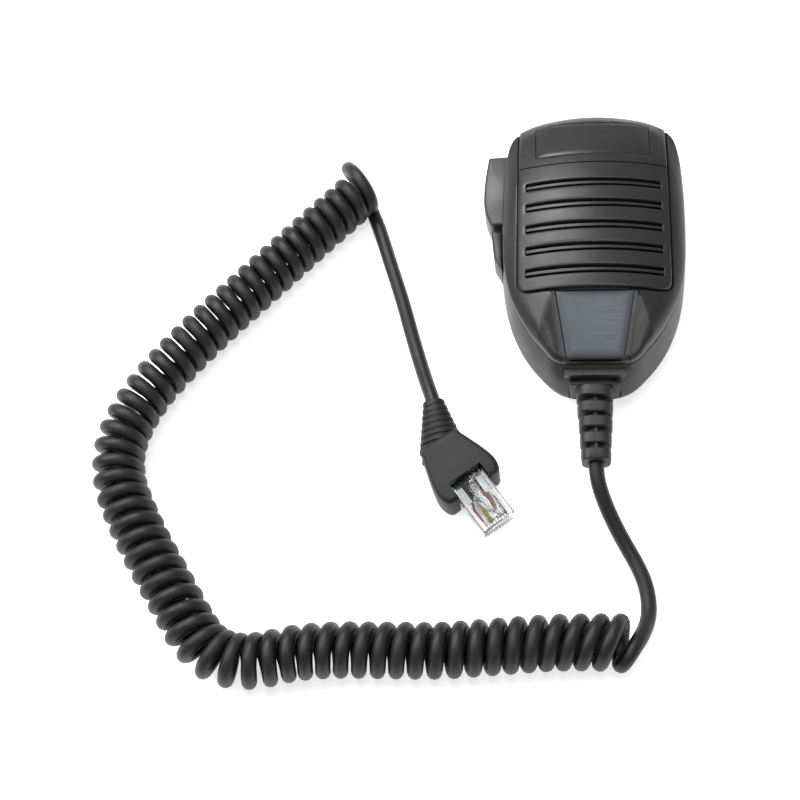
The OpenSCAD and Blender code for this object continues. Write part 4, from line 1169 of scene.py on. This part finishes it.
def strain_relief():
    """Strain relief: square collars on a tapered core, its flange, its neck and two webs."""
    collars = relief_collar()
    in_a_row(collars, COLLARS, (0, -COLLAR_STEP * MM, 0), COLLAR_SHRINK, 0.03, 5, RELIEF)
    exit_face = Matrix.Translation((0, RELIEF_Y * MM, RELIEF_Z * MM))
    place(collars, exit_face)
    core = turned("core", [(2.5, 2), (3.3, 2), (3.3, -2), (2.9, -24.9), (2.5, -24.9), (2.5, 2)], 40)
    place(core, exit_face)
    flange = block("flange", (-8.2, RELIEF_Y, 7.2), (8.2, -48.05, 17.8))
    round_edges(flange, 0.5, 3)
    neck = block("neck", (-5, -48.3, 8), (5, -44.4, 17))
    webs = [
        block("web", (-0.45, -74, RELIEF_Z + middle - 1.0), (0.45, -49, RELIEF_Z + middle + 1.0))
        for middle in (-3.2, 3.2)
    ]
    cut(collars, core, flange, neck, together("webs", webs), how="UNION")
    shade(collars, 35)
    collars.name = "strain_relief_sleeve"
    hand_over(collars, "handset", "relief", RELIEF, "strain_relief")


strain_relief()


# ---------------------------------------------------------------- plug and its boot


BOOT_BULGE, BOOT_STRAIGHT, BOOT_REACH = 1.8, 4.5, 11
BOOT_RIBS, RIB_STEP, RIB_SHRINK, TAIL_FLAT = 8, 2.3, 0.073, 0.8


def boot_rings():
    """Rings of the boot's body, from its underside to its top, the upper and lower edges round."""
    half = [(-14.5, 6.4), (-12, 7.6), (-8, 8.9), (-4, 10.1), (0.5, 11.0), (3.8, 10.6), (5.6, 9.4), (5.9, 7.2)]
    loop = [(5.9, -7.2), (5.5, 0), (5.9, 7.2)] + half[-2::-1] + [(-15.2, 0)] + [(a, -b) for a, b in half[:-1]]
    loop = through(loop, 6, closed=True)
    middle = np.array([-3.0, 0])
    rings = []
    for turn in np.linspace(-90, 90, 14):
        a = math.radians(turn)
        z = AXIS_Z + math.copysign(BOOT_STRAIGHT, a) + BOOT_BULGE * math.sin(a)
        share = BOOT_BULGE / BOOT_REACH * (1 - math.cos(a))
        rings.append(level(middle + (loop - middle) * (1 - share), z))
    return rings


def plug_boot():
    """Boot of the plug: its body with two horns, and its ribbed tail turned to the cord."""
    piece = domed("ribbed_boot", boot_rings())
    pocket = block("pocket", (-2.9, -6.04, 2.8), (30, 6.04, 9.8))
    cut(piece, pocket, block("mouth", (0, -6.04, -2), (30, 6.04, 20)))
    rib = [(2.6, 0), (7.3, 0), (7.6, 0.35), (7.45, 1.5), (7.15, 1.8), (2.6, 1.8), (2.6, 0)]
    ribs = turned("ribs", rib, 40)
    place(ribs, Matrix.Scale(TAIL_FLAT, 4, (0, 0, 1)))
    in_a_row(ribs, BOOT_RIBS, (0, RIB_STEP * MM, 0), RIB_SHRINK, 0.0, 7, BOOT)
    cone = [(2.42, -3), (7.4, -3), (6.9, 0), (3.0, 18), (2.42, 18), (2.42, -3)]
    core = turned("core", cone, 40)
    place(core, Matrix.Scale(0.82, 4, (0, 0, 1)))
    turn = Matrix.Rotation(math.radians(90) - TAIL_TURN, 4, "Z")
    to_tail = Matrix.Translation((TAIL_START[0] * MM, 0, AXIS_Z * MM)) @ turn
    for part in (ribs, core):
        place(part, to_tail)
    bore = turned("bore", [(0, -14), (2.5, -14), (2.5, 20), (0, 20)], 32)
    place(bore, to_tail)
    cut(piece, core, ribs, how="UNION")
    cut(piece, bore)
    place(piece, AT_PLUG)
    shade(piece, 35)
    hand_over(piece, "handset", "boot", BOOT, "plug_boot")


WAY_AT = [(i - 3.5) * 1.02 for i in range(8)]


def plug_shell():
    """Clear body of the plug, hollow for the jacket's end and the conductors."""
    piece = block("clear_plug", (-2.7, -5.84, 3), (18.76, 5.84, 9.6))
    round_edges(piece, 0.3, 3)
    cut(piece, block("mouth", (-3.7, -4.9, 3.7), (8.5, 4.9, 8.9)))
    cut(piece, block("room", (6.5, -4.6, 5.4), (17.6, 4.6, 7.4)))
    slots = [block("slot", (13.7, b - 0.19, 2), (18, b + 0.19, 5.6)) for b in WAY_AT]
    cut(piece, together("contact_slots", slots))
    place(piece, AT_PLUG)
    shade(piece, 30)
    hand_over(piece, "handset", "clear_plug", CLEAR, "plug_body")


def plug_blades():
    """The plug's flat contacts, one in each way."""
    blade = block("plug_blades", (13.76, WAY_AT[0] - 0.17, 3.3), (17.96, WAY_AT[0] + 0.17, 5.95))
    round_edges(blade, 0.08, 2)
    in_a_row(blade, len(WAY_AT), (0, 1.02 * MM, 0), 0.0, 0.0, 2, GOLD)
    place(blade, AT_PLUG)
    shade(blade, 30)
    hand_over(blade, "handset", "gold", GOLD, "plug_contacts")


WIRE_COLOURS = ("#c43a30", "#f0efea", "#2f8c46", "#e3c23a", "#26262a", "#d9762c", "#3559a8", "#8c5a34")


def plug_conductors():
    """Insulated conductors, each a tube whose colour is stored on its mesh."""
    tubes = []
    for i, (b, colour) in enumerate(zip(WAY_AT, WIRE_COLOURS)):
        rise = 0.75 if i % 2 else -0.75
        route = [(6.5, (i - 3.5) * 0.42, AXIS_Z + rise), (9.9, b, 6.4), (13, b, 6.4), (16.96, b, 6.4)]
        wire = settle(tube("plug_conductors", even(through(route, 8), 0.4), 0.4, 2))
        stored = wire.data.color_attributes.new("insulation", "FLOAT_COLOR", "POINT")
        stored.data.foreach_set("color", linear(colour) * len(wire.data.vertices))
        tubes.append(wire)
    piece = together("plug_conductors", tubes)
    place(piece, AT_PLUG)
    clean(piece)
    for face in piece.data.polygons:
        face.use_smooth = True
    hand_over(piece, "handset", "lead_insulation", INSULATION, "plug_wires")


def plug_tongue():
    """Sprung latch: wide at its root, narrow at its free end, rising away from the plug."""
    half = [(0, -3), (7, -3), (8.4, -1.65), (14.1, -1.65), (14.5, -1.3)]
    side = half + [(a, -b) for a, b in reversed(half)]
    piece = prism("plug_tongue", side, 0, 1.1)
    round_edges(piece, 0.25, 2)
    root = Matrix.Translation((17.56 * MM, 0, 9.75 * MM))
    place(piece, AT_PLUG @ root @ Matrix.Rotation(math.radians(11), 4, "Y") @ Matrix.Scale(-1, 4, (1, 0, 0)))
    clean(piece)
    shade(piece, 30)
    hand_over(piece, "latch", "clear_plug", CLEAR, "plug_latch")


plug_boot()
plug_shell()
plug_blades()
plug_conductors()
plug_tongue()


# ---------------------------------------------------------------- screws and the CAD pieces that stay


def small_parts():
    """The case screws, and a material for each CAD node that keeps its own mesh."""
    heads = [(x, y, SEAT_Z - HEAD_H) for x, y in POSTS]
    case = screws("case_screw_set", heads, (HEAD_R, HEAD_H), (1.1, 9.0), 1.0, OXIDE)
    hand_over(case, "handset", "screw_black", OXIDE, "case_screws")
    for node, material in (
        ("dust_felt", FELT), ("mic_element", CAN), ("element_holder", RUBBER), ("circuit_board", BOARD),
        ("board_screws", ZINC), ("amplifier_chip", EPOXY), ("capacitors", SLEEVE),
        ("board_connector", HOUSING), ("wire_plug", HOUSING), ("inner_leads", INSULATION),
        ("ptt_switch", EPOXY), ("switch_plunger", ACETAL), ("ptt_pin", PIN_STEEL),
        # The clamp shares the rear shell's ABS, painted paler as painted light.
        ("hang_button", NYLON), ("hang_button_screw", OXIDE), ("cable_clamp", CASE_REAR_PAINTED_LIGHTER),
        ("clamp_screws", ZINC), ("inner_jacket", JACKET),
    ):
        piece = NODES[node]
        for slot in piece.material_slots:
            slot.material = material


small_parts()

# ---------------------------------------------------------------- finishing


def corners(box):
    """A box as plain lists of its lowest and highest corner."""
    return [[float(v) for v in corner] for corner in box]
